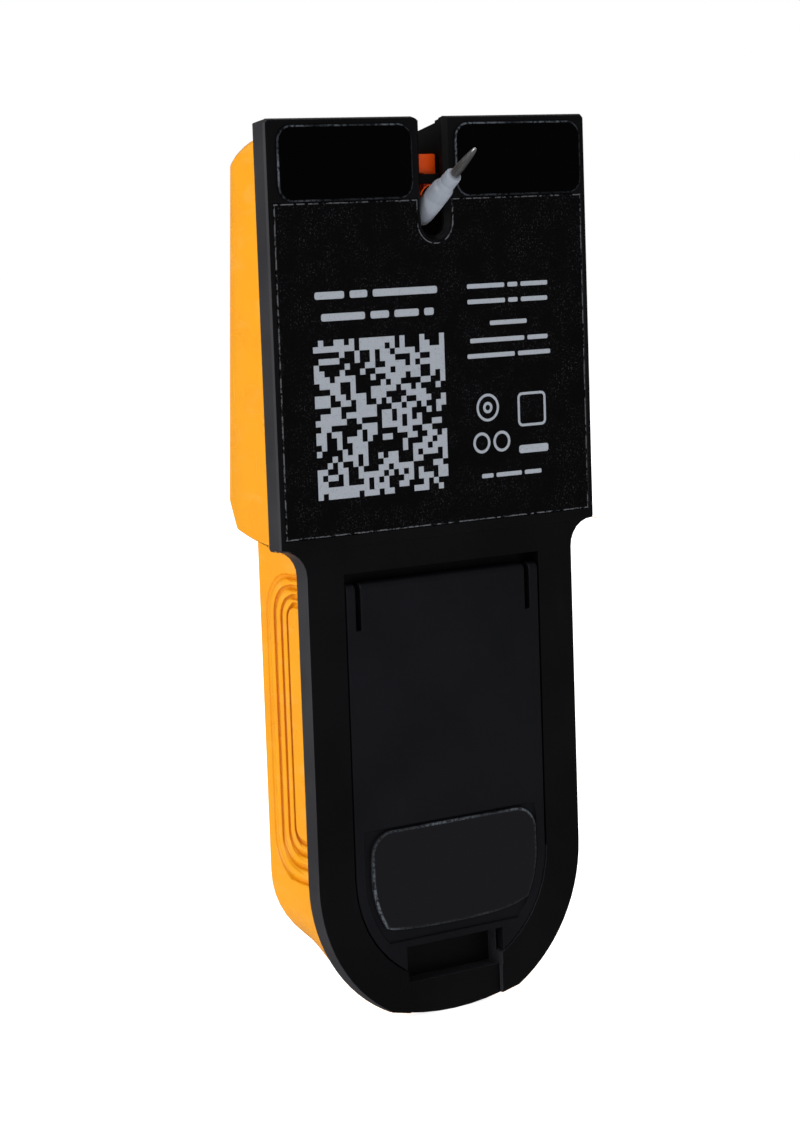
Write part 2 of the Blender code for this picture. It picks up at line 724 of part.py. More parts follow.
def build_display(black, clear, screen, white):
    """Bezel, window, liquid crystal panel and its backlight, all leaning with the face."""
    frame = faced(slab(rounded(-27.0, 27.0, -16.0, 16.0, 2.2), -1.4, 0.5), DISPLAY_Z)
    hole = faced(box(-21.5, 21.5, -3.0, 2.0, -10.8, 10.8), DISPLAY_Z)
    piece("display_bezel", carve(frame, cuts(hole)), black)
    piece("display_window", faced(box(-23.6, 23.6, -3.0, -1.46, -12.6, 12.6), DISPLAY_Z), clear)
    piece("lcd_panel", faced(box(-23.0, 23.0, -5.2, -3.3, -12.0, 12.0), DISPLAY_Z), screen)
    piece("lcd_backlight", faced(box(-23.0, 23.0, -7.6, -5.4, -12.0, 12.0), DISPLAY_Z), white)


def build_indicators(lens, lamp):
    """Three light pipes under the display, each over its lamp on the board."""
    for name, x in (("left", -12.0), ("centre", 0.0), ("right", 12.0)):
        piece(f"light_pipe_{name}", disc(1.45, 16.4, face_y(117.4) + 0.3, x, 117.4, 12), lens)
        piece(f"indicator_led_{name}", box(x - 1.5, x + 1.5, 14.1, 16.1, 116.4, 118.4), lamp)


def build_selector(knob_finish, switch_finish):
    """The sliding mode selector, at its first position, and the switch under it."""
    x, z = -6.0, SELECTOR_Z
    knob = slab(rounded(x - 3.2, x + 3.2, z - 2.8, z + 2.8, 0.9, 3), 25.8, 27.0)
    ridges = [box(x + w - 0.3, x + w + 0.3, 26.8, 27.5, z - 2.1, z + 2.1) for w in (-1.6, 0.0, 1.6)]
    stem = box(x - 1.2, x + 1.2, 18.2, 26.0, z - 1.1, z + 1.1)
    piece("mode_selector", carve(knob, joins(*ridges, stem)), knob_finish, (x, 25.8, z))
    channel = box(-8.0, 8.0, 17.2, 19.0, z - 1.3, z + 1.3)
    body = carve(box(-10.0, 10.0, 14.1, 18.0, z - 2.8, z + 2.8), cuts(channel))
    piece("mode_switch", body, switch_finish)


def build_scan_button(button_finish, switch_finish):
    """The round button on the handle's crown and the switch that it presses."""
    profile = ((2.0, 19.0), (2.0, 22.3), (7.6, 22.3), (7.6, 23.1), (6.45, 23.2), (6.4, 26.2), (5.8, 26.9))
    rings = [[(x, y, z) for x, z in circle(r, 28, 0.0, SCAN_Z)] for r, y in profile]
    piece("scan_button", loft(rings), button_finish, (0.0, 23.1, SCAN_Z), 40)
    plunger = disc(1.6, 16.8, 17.9, 0.0, SCAN_Z, 16)
    body = carve(box(-3.1, 3.1, 14.1, 17.2, SCAN_Z - 3.1, SCAN_Z + 3.1), joins(plunger))
    piece("scan_switch", body, switch_finish)


# ---------------------------------------------------------------- boards and power


def build_boards(green, chip, copper, black):
    """The main board, the sensing board behind the label, and what they carry."""
    outline = ((26.0, 86.0), (26.0, 114.5), (31.5, 114.5), (31.5, 150.0))
    outline = outline + tuple((-x, z) for x, z in reversed(outline))
    piece("main_board", slab(outline, BOARD_Y, BOARD_Y + BOARD_THICK), green)
    piece("controller_chip", box(-6.0, 6.0, 10.9, 12.3, 96.0, 108.0), chip)
    piece("signal_chip", box(13.0, 21.0, 11.0, 12.3, 120.0, 128.0), chip)
    piece("sensor_board", box(-34.0, 34.0, 6.0, 7.2, 114.5, 148.0), green)
    for name, x in (("left", -22.0), ("centre", 0.0), ("right", 22.0)):
        piece(f"sensor_plate_{name}", box(x - 10.2, x + 10.2, 5.6, 5.9, 117.0, 145.5), copper)
    piece("board_link", box(-14.0, 14.0, 7.3, 12.3, 132.0, 134.6), black)


def build_buzzer(finish):
    """The sounder beside the scan button."""
    body = carve(disc(5.8, 14.1, 19.0, -17.5, 97.0, 24), cuts(disc(1.0, 18.0, 20.0, -17.5, 97.0, 12)))
    piece("buzzer", body, finish)


def build_battery(case, metal, black, red):
    """The nine-volt battery, its tray, its snap cap and two leads."""
    half, (y0, y1), (z0, z1) = BATTERY_HALF, BATTERY_Y, BATTERY_Z
    mid = (y0 + y1) / 2.0
    rings = []
    for margin, z in ((0.6, z0), (0.0, z0 + 0.6), (0.0, z1 - 0.6), (0.6, z1)):
        outline = rounded(-half + margin, half - margin, y0 + margin, y1 - margin, 2.0, 3)
        rings.append([(x, y, z) for x, y in outline])
    piece("battery", loft(rings), case)
    for name, x, steps, radius in (("positive", -6.35, 16, 2.9), ("negative", 6.35, 6, 3.8)):
        post = lathe(((radius, z1 + 0.1), (radius, z1 + 2.6)), steps)
        bmesh.ops.translate(post, vec=(x, mid, 0.0), verts=post.verts)
        piece(f"battery_terminal_{name}", post, metal)
    piece("battery_snap", box(-12.0, 12.0, mid - 5.5, mid + 5.5, z1 + 2.9, z1 + 5.6), black)
    hull = box(-14.9, 14.9, 4.5, 23.0, 26.6, 84.0)
    room = box(-13.7, 13.7, 0.0, 22.3, 27.6, 82.8)
    piece("battery_tray", carve(hull, cuts(room, box(-6.0, 6.0, 5.0, 16.0, 80.0, 90.0))), black)
    for name, x, finish in (("positive", -3.0, red), ("negative", 3.0, black)):
        route = [(x, mid, z1 + 5.8), (x, 11.4, 83.0), (1.4 * x, 10.6, 87.5), (1.6 * x, 11.4, 94.0)]
        piece(f"lead_{name}", tube(route, 0.7), finish)


def tube(route, radius, steps=8):
    """A round wire along a few points; its rings stay level."""
    rings = [[(x + px, y + pz, z) for px, pz in circle(radius, steps)] for x, y, z in route]
    return loft(rings)


def build_foam(finish):
    """The strip on the door that steadies the battery."""
    piece("door_foam", box(-8.0, 8.0, 2.5, 4.4, 44.0, 60.0), finish, (0.0, HINGE_Y, HINGE_Z))


def build_case_screws(finish):
    """The screws that pull the rear shell on to the front shell."""
    for name, (x, z) in CASE_SCREWS.items():
        profile = ((2.4, 0.6), (2.75, 1.0), (2.75, 2.1), (1.15, 2.15), (1.15, 10.6), (0.5, 11.6))
        rings = [[(px, y, pz) for px, pz in circle(r, 16, x, z)] for r, y in profile]
        level = box(x - 1.6, x + 1.6, 0.0, 1.4, z - 0.3, z + 0.3)
        upright = box(x - 0.3, x + 0.3, 0.0, 1.4, z - 1.6, z + 1.6)
        piece(name, carve(loft(rings), cuts(level, upright)), finish)


# ---------------------------------------------------------------- assembly


def settle():
    """Moves the assembly so that the middle of its depth is over the origin."""
    shift = Vector((0.0, (NIB_REACH + NIB_EDGE - BODY_DEPTH) / 2.0, 0.0)) * MM
    for obj in bpy.context.scene.objects:
        obj.location += shift


def main():
    """Builds every piece and settles the assembly on its origin."""
    clear_scene()
    yellow = material("yellow_housing", (0.94, 0.42, 0.01), 0.3)
    frame = material("black_frame", (0.012, 0.012, 0.014), 0.42)
    label = material("label_film", (0.016, 0.016, 0.018), 0.55)
    glide = material("glide_pad", (0.006, 0.006, 0.007), 0.3)
    door = material("door_plastic", (0.018, 0.02, 0.025), 0.5)
    rubber = material("door_pad_rubber", (0.01, 0.01, 0.012), 0.45)
    metal = material("marker_needle", (0.55, 0.55, 0.56), 0.3, 1.0)
    white = material("marker_nose_white", (0.72, 0.76, 0.8), 0.35)
    grey = material("marker_barrel_grey", (0.3, 0.3, 0.32), 0.4)
    orange = material("orange_plastic", (0.8, 0.1, 0.0), 0.38)
    inner = material("inner_black", (0.02, 0.02, 0.022), 0.5)
    clear = material("clear_window", (0.85, 0.88, 0.9), 0.08, 0.0, 0.35)
    screen = material("lcd_screen", (0.3, 0.36, 0.3), 0.2)
    light = material("backlight_white", (0.85, 0.85, 0.82), 0.4)
    lens = material("light_pipe", (0.8, 0.12, 0.08), 0.15)
    lamp = material("led_body", (0.8, 0.78, 0.7), 0.3)
    knob = material("dark_control", (0.03, 0.03, 0.033), 0.5)
    button = material("button_rubber", (0.05, 0.05, 0.055), 0.6)
    switch = material("switch_body", (0.08, 0.08, 0.09), 0.45)
    board = material("board_green", (0.02, 0.16, 0.06), 0.35)
    chip = material("chip_black", (0.015, 0.015, 0.016), 0.4)
    copper = material("copper_plate", (0.72, 0.33, 0.16), 0.3, 1.0)
    case = material("battery_case", (0.1, 0.12, 0.16), 0.35)
    steel = material("bright_steel", (0.6, 0.6, 0.6), 0.3, 1.0)
    red = material("red_wire", (0.55, 0.02, 0.02), 0.4)
    foam = material("grey_foam", (0.12, 0.12, 0.13), 0.9)
    build_front_shell(yellow)
    build_rear_shell(frame)
    build_label(label)
    build_glide_pads(glide)
    build_door(door)
    build_door_pad(rubber)
    build_foam(foam)
    build_marker(metal, white, grey)
    build_carriage(orange)
    build_ramp(inner)
    build_slider(orange)
    build_display(inner, clear, screen, light)
    build_indicators(lens, lamp)
    build_selector(knob, switch)
    build_scan_button(button, switch)
    build_boards(board, chip, copper, inner)
    build_buzzer(inner)
    build_battery(case, steel, inner, red)
    build_case_screws(steel)
    settle()


if __name__ == "__main__":
    main()
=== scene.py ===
"""Looks of a handheld stud finder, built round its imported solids.

Lengths in the classes are millimetres. Depth runs from the rear face, which slides on the
wall, towards the display; the workshop turns both into the frame's metres.
"""

from __future__ import annotations

import json
import logging
import math
from collections.abc import Callable, Iterable, Mapping, Sequence
from dataclasses import dataclass, field
from enum import Enum

import bmesh
import bpy
from mathutils import Matrix, Vector

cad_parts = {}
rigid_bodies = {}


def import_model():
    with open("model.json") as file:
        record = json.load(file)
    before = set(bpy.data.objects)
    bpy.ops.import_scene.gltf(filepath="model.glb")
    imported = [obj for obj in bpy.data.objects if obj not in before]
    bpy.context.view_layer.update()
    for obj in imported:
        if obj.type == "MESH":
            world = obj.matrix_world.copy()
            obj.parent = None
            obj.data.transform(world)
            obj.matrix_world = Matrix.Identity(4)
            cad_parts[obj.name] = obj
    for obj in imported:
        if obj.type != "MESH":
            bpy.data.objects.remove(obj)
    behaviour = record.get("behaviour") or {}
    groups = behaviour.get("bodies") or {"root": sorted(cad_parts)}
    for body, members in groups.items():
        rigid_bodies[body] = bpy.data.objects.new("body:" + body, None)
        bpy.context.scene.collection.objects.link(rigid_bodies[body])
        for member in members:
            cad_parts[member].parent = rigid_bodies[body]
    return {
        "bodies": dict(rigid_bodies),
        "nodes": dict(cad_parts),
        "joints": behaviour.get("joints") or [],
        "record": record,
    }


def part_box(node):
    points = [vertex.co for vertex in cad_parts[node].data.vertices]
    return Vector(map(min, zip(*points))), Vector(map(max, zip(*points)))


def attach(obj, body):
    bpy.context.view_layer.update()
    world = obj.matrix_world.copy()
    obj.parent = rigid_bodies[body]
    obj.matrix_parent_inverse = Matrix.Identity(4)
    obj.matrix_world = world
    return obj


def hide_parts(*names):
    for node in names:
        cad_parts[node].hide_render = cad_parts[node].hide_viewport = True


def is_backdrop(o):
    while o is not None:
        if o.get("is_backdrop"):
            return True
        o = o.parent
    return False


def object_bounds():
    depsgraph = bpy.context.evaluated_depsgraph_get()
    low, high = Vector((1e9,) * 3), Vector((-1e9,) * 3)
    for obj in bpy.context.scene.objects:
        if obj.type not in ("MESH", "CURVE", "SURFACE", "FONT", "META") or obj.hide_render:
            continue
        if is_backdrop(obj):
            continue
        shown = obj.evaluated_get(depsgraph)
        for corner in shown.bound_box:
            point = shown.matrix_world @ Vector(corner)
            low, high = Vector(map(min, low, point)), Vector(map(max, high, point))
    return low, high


LOG = logging.getLogger("stud_finder")
MM = 0.001

Flat = tuple[float, float]
Colour = tuple[float, float, float]


class Body(Enum):
    """The rigid bodies that pieces ride on."""

    HOUSING = "housing"
    DOOR = "battery_door"
    MARKER = "marker"
    SLIDER = "marker_slider"
    SELECTOR = "mode_selector"
    BUTTON = "scan_button"


# ---------------------------------------------------------------- node trees


class Field:
    """A number that varies in a node tree; arithmetic on it adds Math nodes."""

    def __init__(self, graph: Graph, socket: bpy.types.NodeSocket) -> None:
        """Wraps one output socket of a graph."""
        self.graph = graph
        self.socket = socket

    def _math(self, operation: str, *values: object) -> Field:
        """Adds one Math node.

        Args:
            operation: The node's operation.
            values: What goes into its inputs, in order.

        Returns:
            The node's result.
        """
        node = self.graph.node("ShaderNodeMath", {"operation": operation}, dict(enumerate(values)))
        return Field(self.graph, node.outputs[0])

    def __add__(self, other: object) -> Field:
        """This plus the other."""
        return self._math("ADD", self, other)

    __radd__ = __add__

    def __sub__(self, other: object) -> Field:
        """This less the other."""
        return self._math("SUBTRACT", self, other)

    def __rsub__(self, other: object) -> Field:
        """The other less this."""
        return self._math("SUBTRACT", other, self)

    def __mul__(self, other: object) -> Field:
        """This times the other."""
        return self._math("MULTIPLY", self, other)

    __rmul__ = __mul__

    def __truediv__(self, other: object) -> Field:
        """This over the other."""
        return self._math("DIVIDE", self, other)

    def __pow__(self, other: object) -> Field:
        """This to a power."""
        return self._math("POWER", self, other)

    def __abs__(self) -> Field:
        """This without its sign."""
        return self._math("ABSOLUTE", self)

    def above(self, limit: object) -> Field:
        """One where this is over a limit, nought elsewhere."""
        return self._math("GREATER_THAN", self, limit)

    def wrapped(self, period: float) -> Field:
        """The remainder after whole periods."""
        return self._math("FLOORED_MODULO", self, period)

    def larger(self, other: object) -> Field:
        """The larger of the two."""
        return self._math("MAXIMUM", self, other)

    def smaller(self, other: object) -> Field:
        """The smaller of the two."""
        return self._math("MINIMUM", self, other)

    def eased(self, low: float, high: float) -> Field:
        """A smooth rise from nought at low to one at high.

        Args:
            low: Where the rise starts.
            high: Where the rise ends; it may be below low.

        Returns:
            The eased value.
        """
        settings = {"interpolation_type": "SMOOTHSTEP"}
        node = self.graph.node("ShaderNodeMapRange", settings, {0: self, 1: low, 2: high, 3: 0.0, 4: 1.0})
        return Field(self.graph, node.outputs[0])


class Graph:
    """A node tree, with one way to add any node to it."""

    def __init__(self, tree: bpy.types.NodeTree) -> None:
        """Takes the tree that the nodes go into."""
        self.tree = tree

    def node(
        self,
        kind: str,
        settings: Mapping[str, object] | None = None,
        sockets: Mapping[str | int, object] | None = None,
    ) -> bpy.types.Node:
        """Adds a node.

        Args:
            kind: The node's type.
            settings: Its properties, set before its sockets.
            sockets: Values or links for its inputs, by name or position.

        Returns:
            The new node.
        """
        made = self.tree.nodes.new(kind)
        for name, value in (settings or {}).items():
            setattr(made, name, value)
        for name, value in (sockets or {}).items():
            self.feed(made.inputs[name], value)
        return made

    def feed(self, entry: bpy.types.NodeSocket, value: object) -> None:
        """Gives an input a link or a plain value.

        Args:
            entry: The input socket.
            value: A Field, a socket, or what the socket's default takes.
        """
        if isinstance(value, Field):
            self.tree.links.new(value.socket, entry)
        elif isinstance(value, bpy.types.NodeSocket):
            self.tree.links.new(value, entry)
        else:
            entry.default_value = value


class Recipe(Graph):
    """A material under construction on one Principled shader."""

    def __init__(self, name: str) -> None:
        """Starts a material.

        Args:
            name: The material's name.
        """
        self.material = bpy.data.materials.new(name)
        self.material.use_nodes = True
        super().__init__(self.material.node_tree)
        self.shader = self.tree.nodes["Principled BSDF"]
        self.spot = self.node("ShaderNodeTexCoord").outputs["Object"]

    def across(self, axis: int) -> Field:
        """One coordinate of the surface point, in millimetres."""
        parts = self.node("ShaderNodeSeparateXYZ", None, {0: self.spot})
        return Field(self, parts.outputs[axis]) * 1000.0

    def noise(self, size: float, detail: float = 2.0, stretch: Sequence[float] = (1, 1, 1)) -> Field:
        """Smooth noise.

        Args:
            size: Size of its features in millimetres.
            detail: How many finer layers it has.
            stretch: Scale of its coordinates along each axis.

        Returns:
            Values round one half.
        """
        mapped = self.node("ShaderNodeMapping", None, {"Vector": self.spot, "Scale": tuple(stretch)})
        sockets = {"Vector": mapped.outputs[0], "Scale": 1000.0 / size, "Detail": detail}
        return Field(self, self.node("ShaderNodeTexNoise", None, sockets).outputs[0])

    def pebbles(self, size: float, feature: str = "F1") -> Field:
        """Distance to scattered points, for moulded grain.

        Args:
            size: Spacing of the points in millimetres.
            feature: Which distance of the Voronoi pattern to take.

        Returns:
            The distance in cells.
        """
        sockets = {"Vector": self.spot, "Scale": 1000.0 / size}
        return Field(self, self.node("ShaderNodeTexVoronoi", {"feature": feature}, sockets).outputs[0])

    def attribute(self, name: str) -> Field:
        """A number stored on the mesh."""
        return Field(self, self.node("ShaderNodeAttribute", {"attribute_name": name}).outputs["Fac"])

    def mixed(self, share: object, first: object, second: object) -> bpy.types.NodeSocket:
        """A colour between two.

        Args:
            share: Nought gives the first, one the second.
            first: A colour or a colour socket.
            second: A colour or a colour socket.

        Returns:
            The mixed colour's socket.
        """
        ends = [(*c, 1.0) if isinstance(c, tuple) and len(c) == 3 else c for c in (first, second)]
        settings = {"data_type": "RGBA", "clamp_factor": True}
        made = self.node("ShaderNodeMix", settings, {0: share, 6: ends[0], 7: ends[1]})
        return made.outputs[2]

    def relief(self, height: Field, depth: float, under: object = None) -> bpy.types.NodeSocket:
        """A bump from a height.

        Args:
            height: Height from nought to one.
            depth: What one stands for, in millimetres.
            under: A normal that the bump lies on.

        Returns:
            The bent normal's socket.
        """
        sockets = {"Height": height, "Distance": depth * MM, "Strength": 1.0}
        if under is not None:
            sockets["Normal"] = under
        return self.node("ShaderNodeBump", None, sockets).outputs[0]

    def finish(self, **channels: object) -> bpy.types.Material:
        """Feeds the shader and closes the recipe.

        Args:
            channels: Values by the shader's input names, with underscores for spaces.

        Returns:
            The finished material.
        """
        for name, value in channels.items():
            plain = (*value, 1.0) if isinstance(value, tuple) and len(value) == 3 else value
            self.feed(self.shader.inputs[name.replace("_", " ")], plain)
        return self.material


# ---------------------------------------------------------------- finishes


@dataclass(frozen=True)
class Finish:
    """What a surface is made of; each finish makes its material once."""

    name: str

    def material(self) -> bpy.types.Material:
        """The material, made on first use."""
        title = f"{self.name}_finish"
        return bpy.data.materials.get(title) or self.mix(Recipe(title))

    def mix(self, recipe: Recipe) -> bpy.types.Material:
        """Builds the material in a recipe.

        Args:
            recipe: The material under construction.

        Returns:
            The finished material.
        """
        raise NotImplementedError


@dataclass(frozen=True)
class Moulded(Finish):
    """Moulded plastic or rubber with a fine grain, uneven gloss and faint handling marks."""

    colour: Colour
    light: Colour
    roughness: float = 0.42
    grain: float = 0.35
    depth: float = 0.006
    specular: float = 0.35
    marks: float = 0.04

    def mix(self, recipe: Recipe) -> bpy.types.Material:
        """Builds the plastic.

        Args:
            recipe: The material under construction.

        Returns:
            The finished material.
        """
        cloud = recipe.noise(22.0, 3.0)
        pores = recipe.noise(self.grain, 3.0)
        scuff = recipe.noise(3.0, 4.0, (1.0, 1.0, 0.16)).eased(0.62, 0.78)
        tone = cloud.eased(0.3, 0.75) * 0.5 + pores.eased(0.62, 0.8) * 0.3 + scuff * 0.4
        gloss = self.roughness + (cloud - 0.5) * 0.14 + scuff * self.marks + (pores - 0.5) * 0.1
        return recipe.finish(
            Base_Color=recipe.mixed(tone, self.colour, self.light),
            Roughness=gloss,
            Specular_IOR_Level=self.specular,
            Normal=recipe.relief(pores + recipe.pebbles(self.grain * 1.6) * 0.4, self.depth),
        )


@dataclass(frozen=True)
class Glossy(Finish):
    """Bright glossy housing plastic: slight flow clouds, pale streaks of painted reflection, orange peel and
    hairline wipes.
    """

    colour: Colour
    deep: Colour
    # pale: colour of the streaks of painted reflection.
    pale: Colour
    roughness: float = 0.27

    def mix(self, recipe: Recipe) -> bpy.types.Material:
        """Builds the gloss.

        Args:
            recipe: The material under construction.

        Returns:
            The finished material.
        """
        cloud = recipe.noise(16.0, 2.0, (1.0, 1.0, 1.6)).eased(0.35, 0.7)
        # band: pale streaks painted into the colour as reflection on the gloss.
        band = recipe.noise(7.0, 2.0, (1.0, 0.8, 2.2)).eased(0.52, 0.74)
        wipes = recipe.noise(1.1, 3.0, (1.0, 1.0, 0.05)).eased(0.6, 0.8)
        body = recipe.mixed(cloud * 0.45, self.colour, self.deep)
        peel = recipe.noise(1.3, 1.0) + recipe.noise(0.22, 2.0) * 0.25
        return recipe.finish(
            Base_Color=recipe.mixed(band * 0.3, body, self.pale),
            Roughness=self.roughness + (cloud - 0.5) * 0.06 + wipes * 0.07,
            Specular_IOR_Level=0.3,
            Coat_Weight=0.1,
            Coat_Roughness=0.12,
            Normal=recipe.relief(peel, 0.004),
        )


@dataclass(frozen=True)
class GrainedFilm(Finish):
    """Black printed film with a fine grain, pale specks painted in as glints of the grain, and a painted
    highlight along its edge.
    """

    colour: Colour
    # Colour of the pale specks painted in as glints of the grain.
    glint: Colour
    # edge: colour of the painted highlight along the film's edge.
    edge: Colour

    def mix(self, recipe: Recipe) -> bpy.types.Material:
        """Builds the film.

        Args:
            recipe: The material under construction.

        Returns:
            The finished material.
        """
        grit = recipe.pebbles(0.42)
        # Pale specks painted into the colour as glints of the grain.
        glint = (recipe.noise(0.36, 2.0).eased(0.58, 0.7)) * recipe.noise(6.0, 2.0).eased(0.35, 0.65)
        # The rim: a painted highlight along the film's edge.
        rim = recipe.attribute("rim") * recipe.noise(0.9, 3.0).eased(0.42, 0.56)
        face = recipe.mixed(glint * 0.8, self.colour, self.glint)
        return recipe.finish(
            Base_Color=recipe.mixed(rim, face, self.edge),
            Roughness=0.62 - glint * 0.16 + grit * 0.08,
            Specular_IOR_Level=0.07,
            Normal=recipe.relief(grit + recipe.noise(0.3, 2.0), 0.02),
        )


@dataclass(frozen=True)
class SlidingPad(Finish):
    """Smooth black pad film: near-black face, lint on it, and a ragged pale edge, partly a worn edge and
    partly a painted highlight that is strongest on the left and top edges.
    """

    colour: Colour
    # edge: colour of the pale edge, partly painted highlight.
    edge: Colour
    roughness: float
    ragged: float = 0.75
    specular: float = 0.08
    # worn: share of the ragged pale edge kept all round; the left and top edges rise above it with painted
    # highlight.
    worn: float = 0.2

    def mix(self, recipe: Recipe) -> bpy.types.Material:
        """Builds the pad.

        Args:
            recipe: The material under construction.

        Returns:
            The finished material.
        """
        tear = recipe.noise(0.7, 4.0).eased(0.4, 0.55) * self.ragged + (1.0 - self.ragged)
        patch = recipe.noise(9.0, 2.0).eased(0.4, 0.62) * 0.75 + 0.25
        # The pale edge: ragged like a worn edge, and raised on the left and top edges by painted highlight.
        rim = recipe.attribute("rim") * tear * patch * recipe.attribute("lit_side").larger(self.worn)
        streak = recipe.noise(2.0, 3.0, (0.12, 1.0, 1.0)).eased(0.6, 0.78)
        return recipe.finish(
            Base_Color=recipe.mixed(rim, self.colour, self.edge),
            Roughness=self.roughness + streak * 0.08 + rim * 0.3,
            Specular_IOR_Level=self.specular,
            Normal=recipe.relief(recipe.noise(0.5, 2.0) * 0.4 + rim, 0.012),
        )


@dataclass(frozen=True)
class Metal(Finish):
    """Drawn or plated metal with fine lines along one axis."""

    colour: Colour
    dark: Colour
    roughness: float = 0.28
    stretch: tuple[float, float, float] = (1.0, 0.12, 0.12)

    def mix(self, recipe: Recipe) -> bpy.types.Material:
        """Builds the metal.

        Args:
            recipe: The material under construction.

        Returns:
            The finished material.
        """
        lines = recipe.noise(0.14, 3.0, self.stretch)
        stain = recipe.noise(2.6, 3.0).eased(0.45, 0.75)
        return recipe.finish(
            Base_Color=recipe.mixed(stain * 0.7, self.colour, self.dark),
            Metallic=1.0,
            Roughness=self.roughness + (lines - 0.5) * 0.2 + stain * 0.1,
            Normal=recipe.relief(lines, 0.004),
        )


@dataclass(frozen=True)
class Print(Finish):
    """Pale screen ink with worn specks."""

    colour: Colour
    worn: Colour

    def mix(self, recipe: Recipe) -> bpy.types.Material:
        """Builds the ink.

        Args:
            recipe: The material under construction.

        Returns:
            The finished material.
        """
        speck = recipe.noise(0.3, 3.0).eased(0.55, 0.72)
        return recipe.finish(
            Base_Color=recipe.mixed(speck * 0.8, self.colour, self.worn),
            Roughness=0.6 + speck * 0.2,
            Normal=recipe.relief(recipe.noise(0.25, 2.0), 0.008),
        )


@dataclass(frozen=True)
class CircuitBoard(Finish):
    """Solder resist over copper tracks, on glass cloth."""

    resist: Colour
    track: Colour

    def mix(self, recipe: Recipe) -> bpy.types.Material:
        """Builds the board.

        Args:
            recipe: The material under construction.

        Returns:
            The finished material.
        """
        bend = (recipe.noise(14.0, 0.0) - 0.5) * 26.0
        lanes = (recipe.across(0) + bend).wrapped(1.6)
        rows = (recipe.across(2) + bend).wrapped(1.6)
        zone = recipe.noise(11.0, 0.0).above(0.5)
        track = (0.55 - lanes).above(0.0) * zone + (0.55 - rows).above(0.0) * (1.0 - zone)
        cloth = recipe.noise(0.4, 1.0)
        return recipe.finish(
            Base_Color=recipe.mixed(track * 0.75 + cloth * 0.15, self.resist, self.track),
            Roughness=0.3 + cloth * 0.12,
            Normal=recipe.relief(track + cloth * 0.2, 0.03),
        )


@dataclass(frozen=True)
class Screen(Finish):
    """A liquid crystal's grey-green face with a faint cell grid."""

    colour: Colour
    shade: Colour
    cell: float = 0.9
    clear: float = 0.84

    def mix(self, recipe: Recipe) -> bpy.types.Material:
        """Builds the screen.

        Args:
            recipe: The material under construction.

        Returns:
            The finished material.
        """
        upright = (recipe.across(0).wrapped(self.cell) - self.clear).above(0.0)
        level = (recipe.across(2).wrapped(self.cell) - self.clear).above(0.0)
        grid = upright.larger(level)
        glow = recipe.noise(26.0, 1.0).eased(0.3, 0.7)
        face = recipe.mixed(glow * 0.5, self.colour, self.shade)
        return recipe.finish(
            Base_Color=recipe.mixed(grid * 0.18, face, (0.1, 0.12, 0.1)),
            Roughness=0.2 + glow * 0.06,
            Normal=recipe.relief(recipe.noise(0.6, 1.0), 0.002),
        )


@dataclass(frozen=True)
class ClearPlastic(Finish):
    """A clear moulded window or light pipe with wipe marks."""

    colour: Colour
    solid: float

    def mix(self, recipe: Recipe) -> bpy.types.Material:
        """Builds the clear plastic.

        Args:
            recipe: The material under construction.

        Returns:
            The finished material.
        """
        wipes = recipe.noise(1.4, 3.0, (0.06, 1.0, 1.0)).eased(0.6, 0.8)
        return recipe.finish(
            Base_Color=self.colour,
            Roughness=0.04 + wipes * 0.1,
            Alpha=self.solid + wipes * 0.05,
            Normal=recipe.relief(recipe.noise(2.0, 1.0), 0.002),
        )


@dataclass(frozen=True)
class CellFoam(Finish):
    """Open-cell foam."""

    colour: Colour
    hole: Colour

    def mix(self, recipe: Recipe) -> bpy.types.Material:
        """Builds the foam.

        Args:
            recipe: The material under construction.

        Returns:
            The finished material.
        """
        cells = recipe.pebbles(0.7)
        return recipe.finish(
            Base_Color=recipe.mixed(cells.eased(0.2, 0.6), self.hole, self.colour),
            Roughness=0.92 - cells * 0.05,
            Normal=recipe.relief(cells, 0.25),
        )


@dataclass(frozen=True)
class PaleSheet(Finish):
    """A pale backlit studio sheet."""

    colour: Colour
    light: Colour
    glow: float

    def mix(self, recipe: Recipe) -> bpy.types.Material:
        """Builds the sheet.

        Args:
            recipe: The material under construction.

        Returns:
            The finished material.
        """
        cloud = recipe.noise(40.0, 2.0)
        return recipe.finish(
            Base_Color=recipe.mixed(cloud, self.colour, self.light),
            Roughness=0.8 + cloud * 0.1,
            Specular_IOR_Level=0.1,
            Emission_Color=(1.0, 1.0, 1.0),
            Emission_Strength=self.glow,
        )


@dataclass(frozen=True)
class PrintedCan(Finish):
    """A battery's printed sleeve: dark body, a copper band at its top, fine edge wear."""

    colour: Colour
    band: Colour
    line: float

    def mix(self, recipe: Recipe) -> bpy.types.Material:
        """Builds the sleeve.

        Args:
            recipe: The material under construction.

        Returns:
            The finished material.
        """
        top = (recipe.across(2) - self.line).above(0.0)
        scratch = recipe.noise(0.8, 4.0, (1.0, 1.0, 0.1)).eased(0.64, 0.8)
        body = recipe.mixed(top, self.colour, self.band)
        return recipe.finish(
            Base_Color=recipe.mixed(scratch * 0.5, body, (0.5, 0.5, 0.5)),
            Roughness=0.32 + scratch * 0.2,
            Metallic=top * 0.9,
            Normal=recipe.relief(scratch, 0.01),
        )


YELLOW = Glossy("housing_yellow", (0.83, 0.335, 0.003), (0.79, 0.285, 0.001), (0.86, 0.4, 0.06))
FRAME = Moulded("frame_black", (0.0018, 0.0018, 0.0023), (0.0045, 0.0045, 0.0056), 0.44, 0.3, 0.004, 0.14)
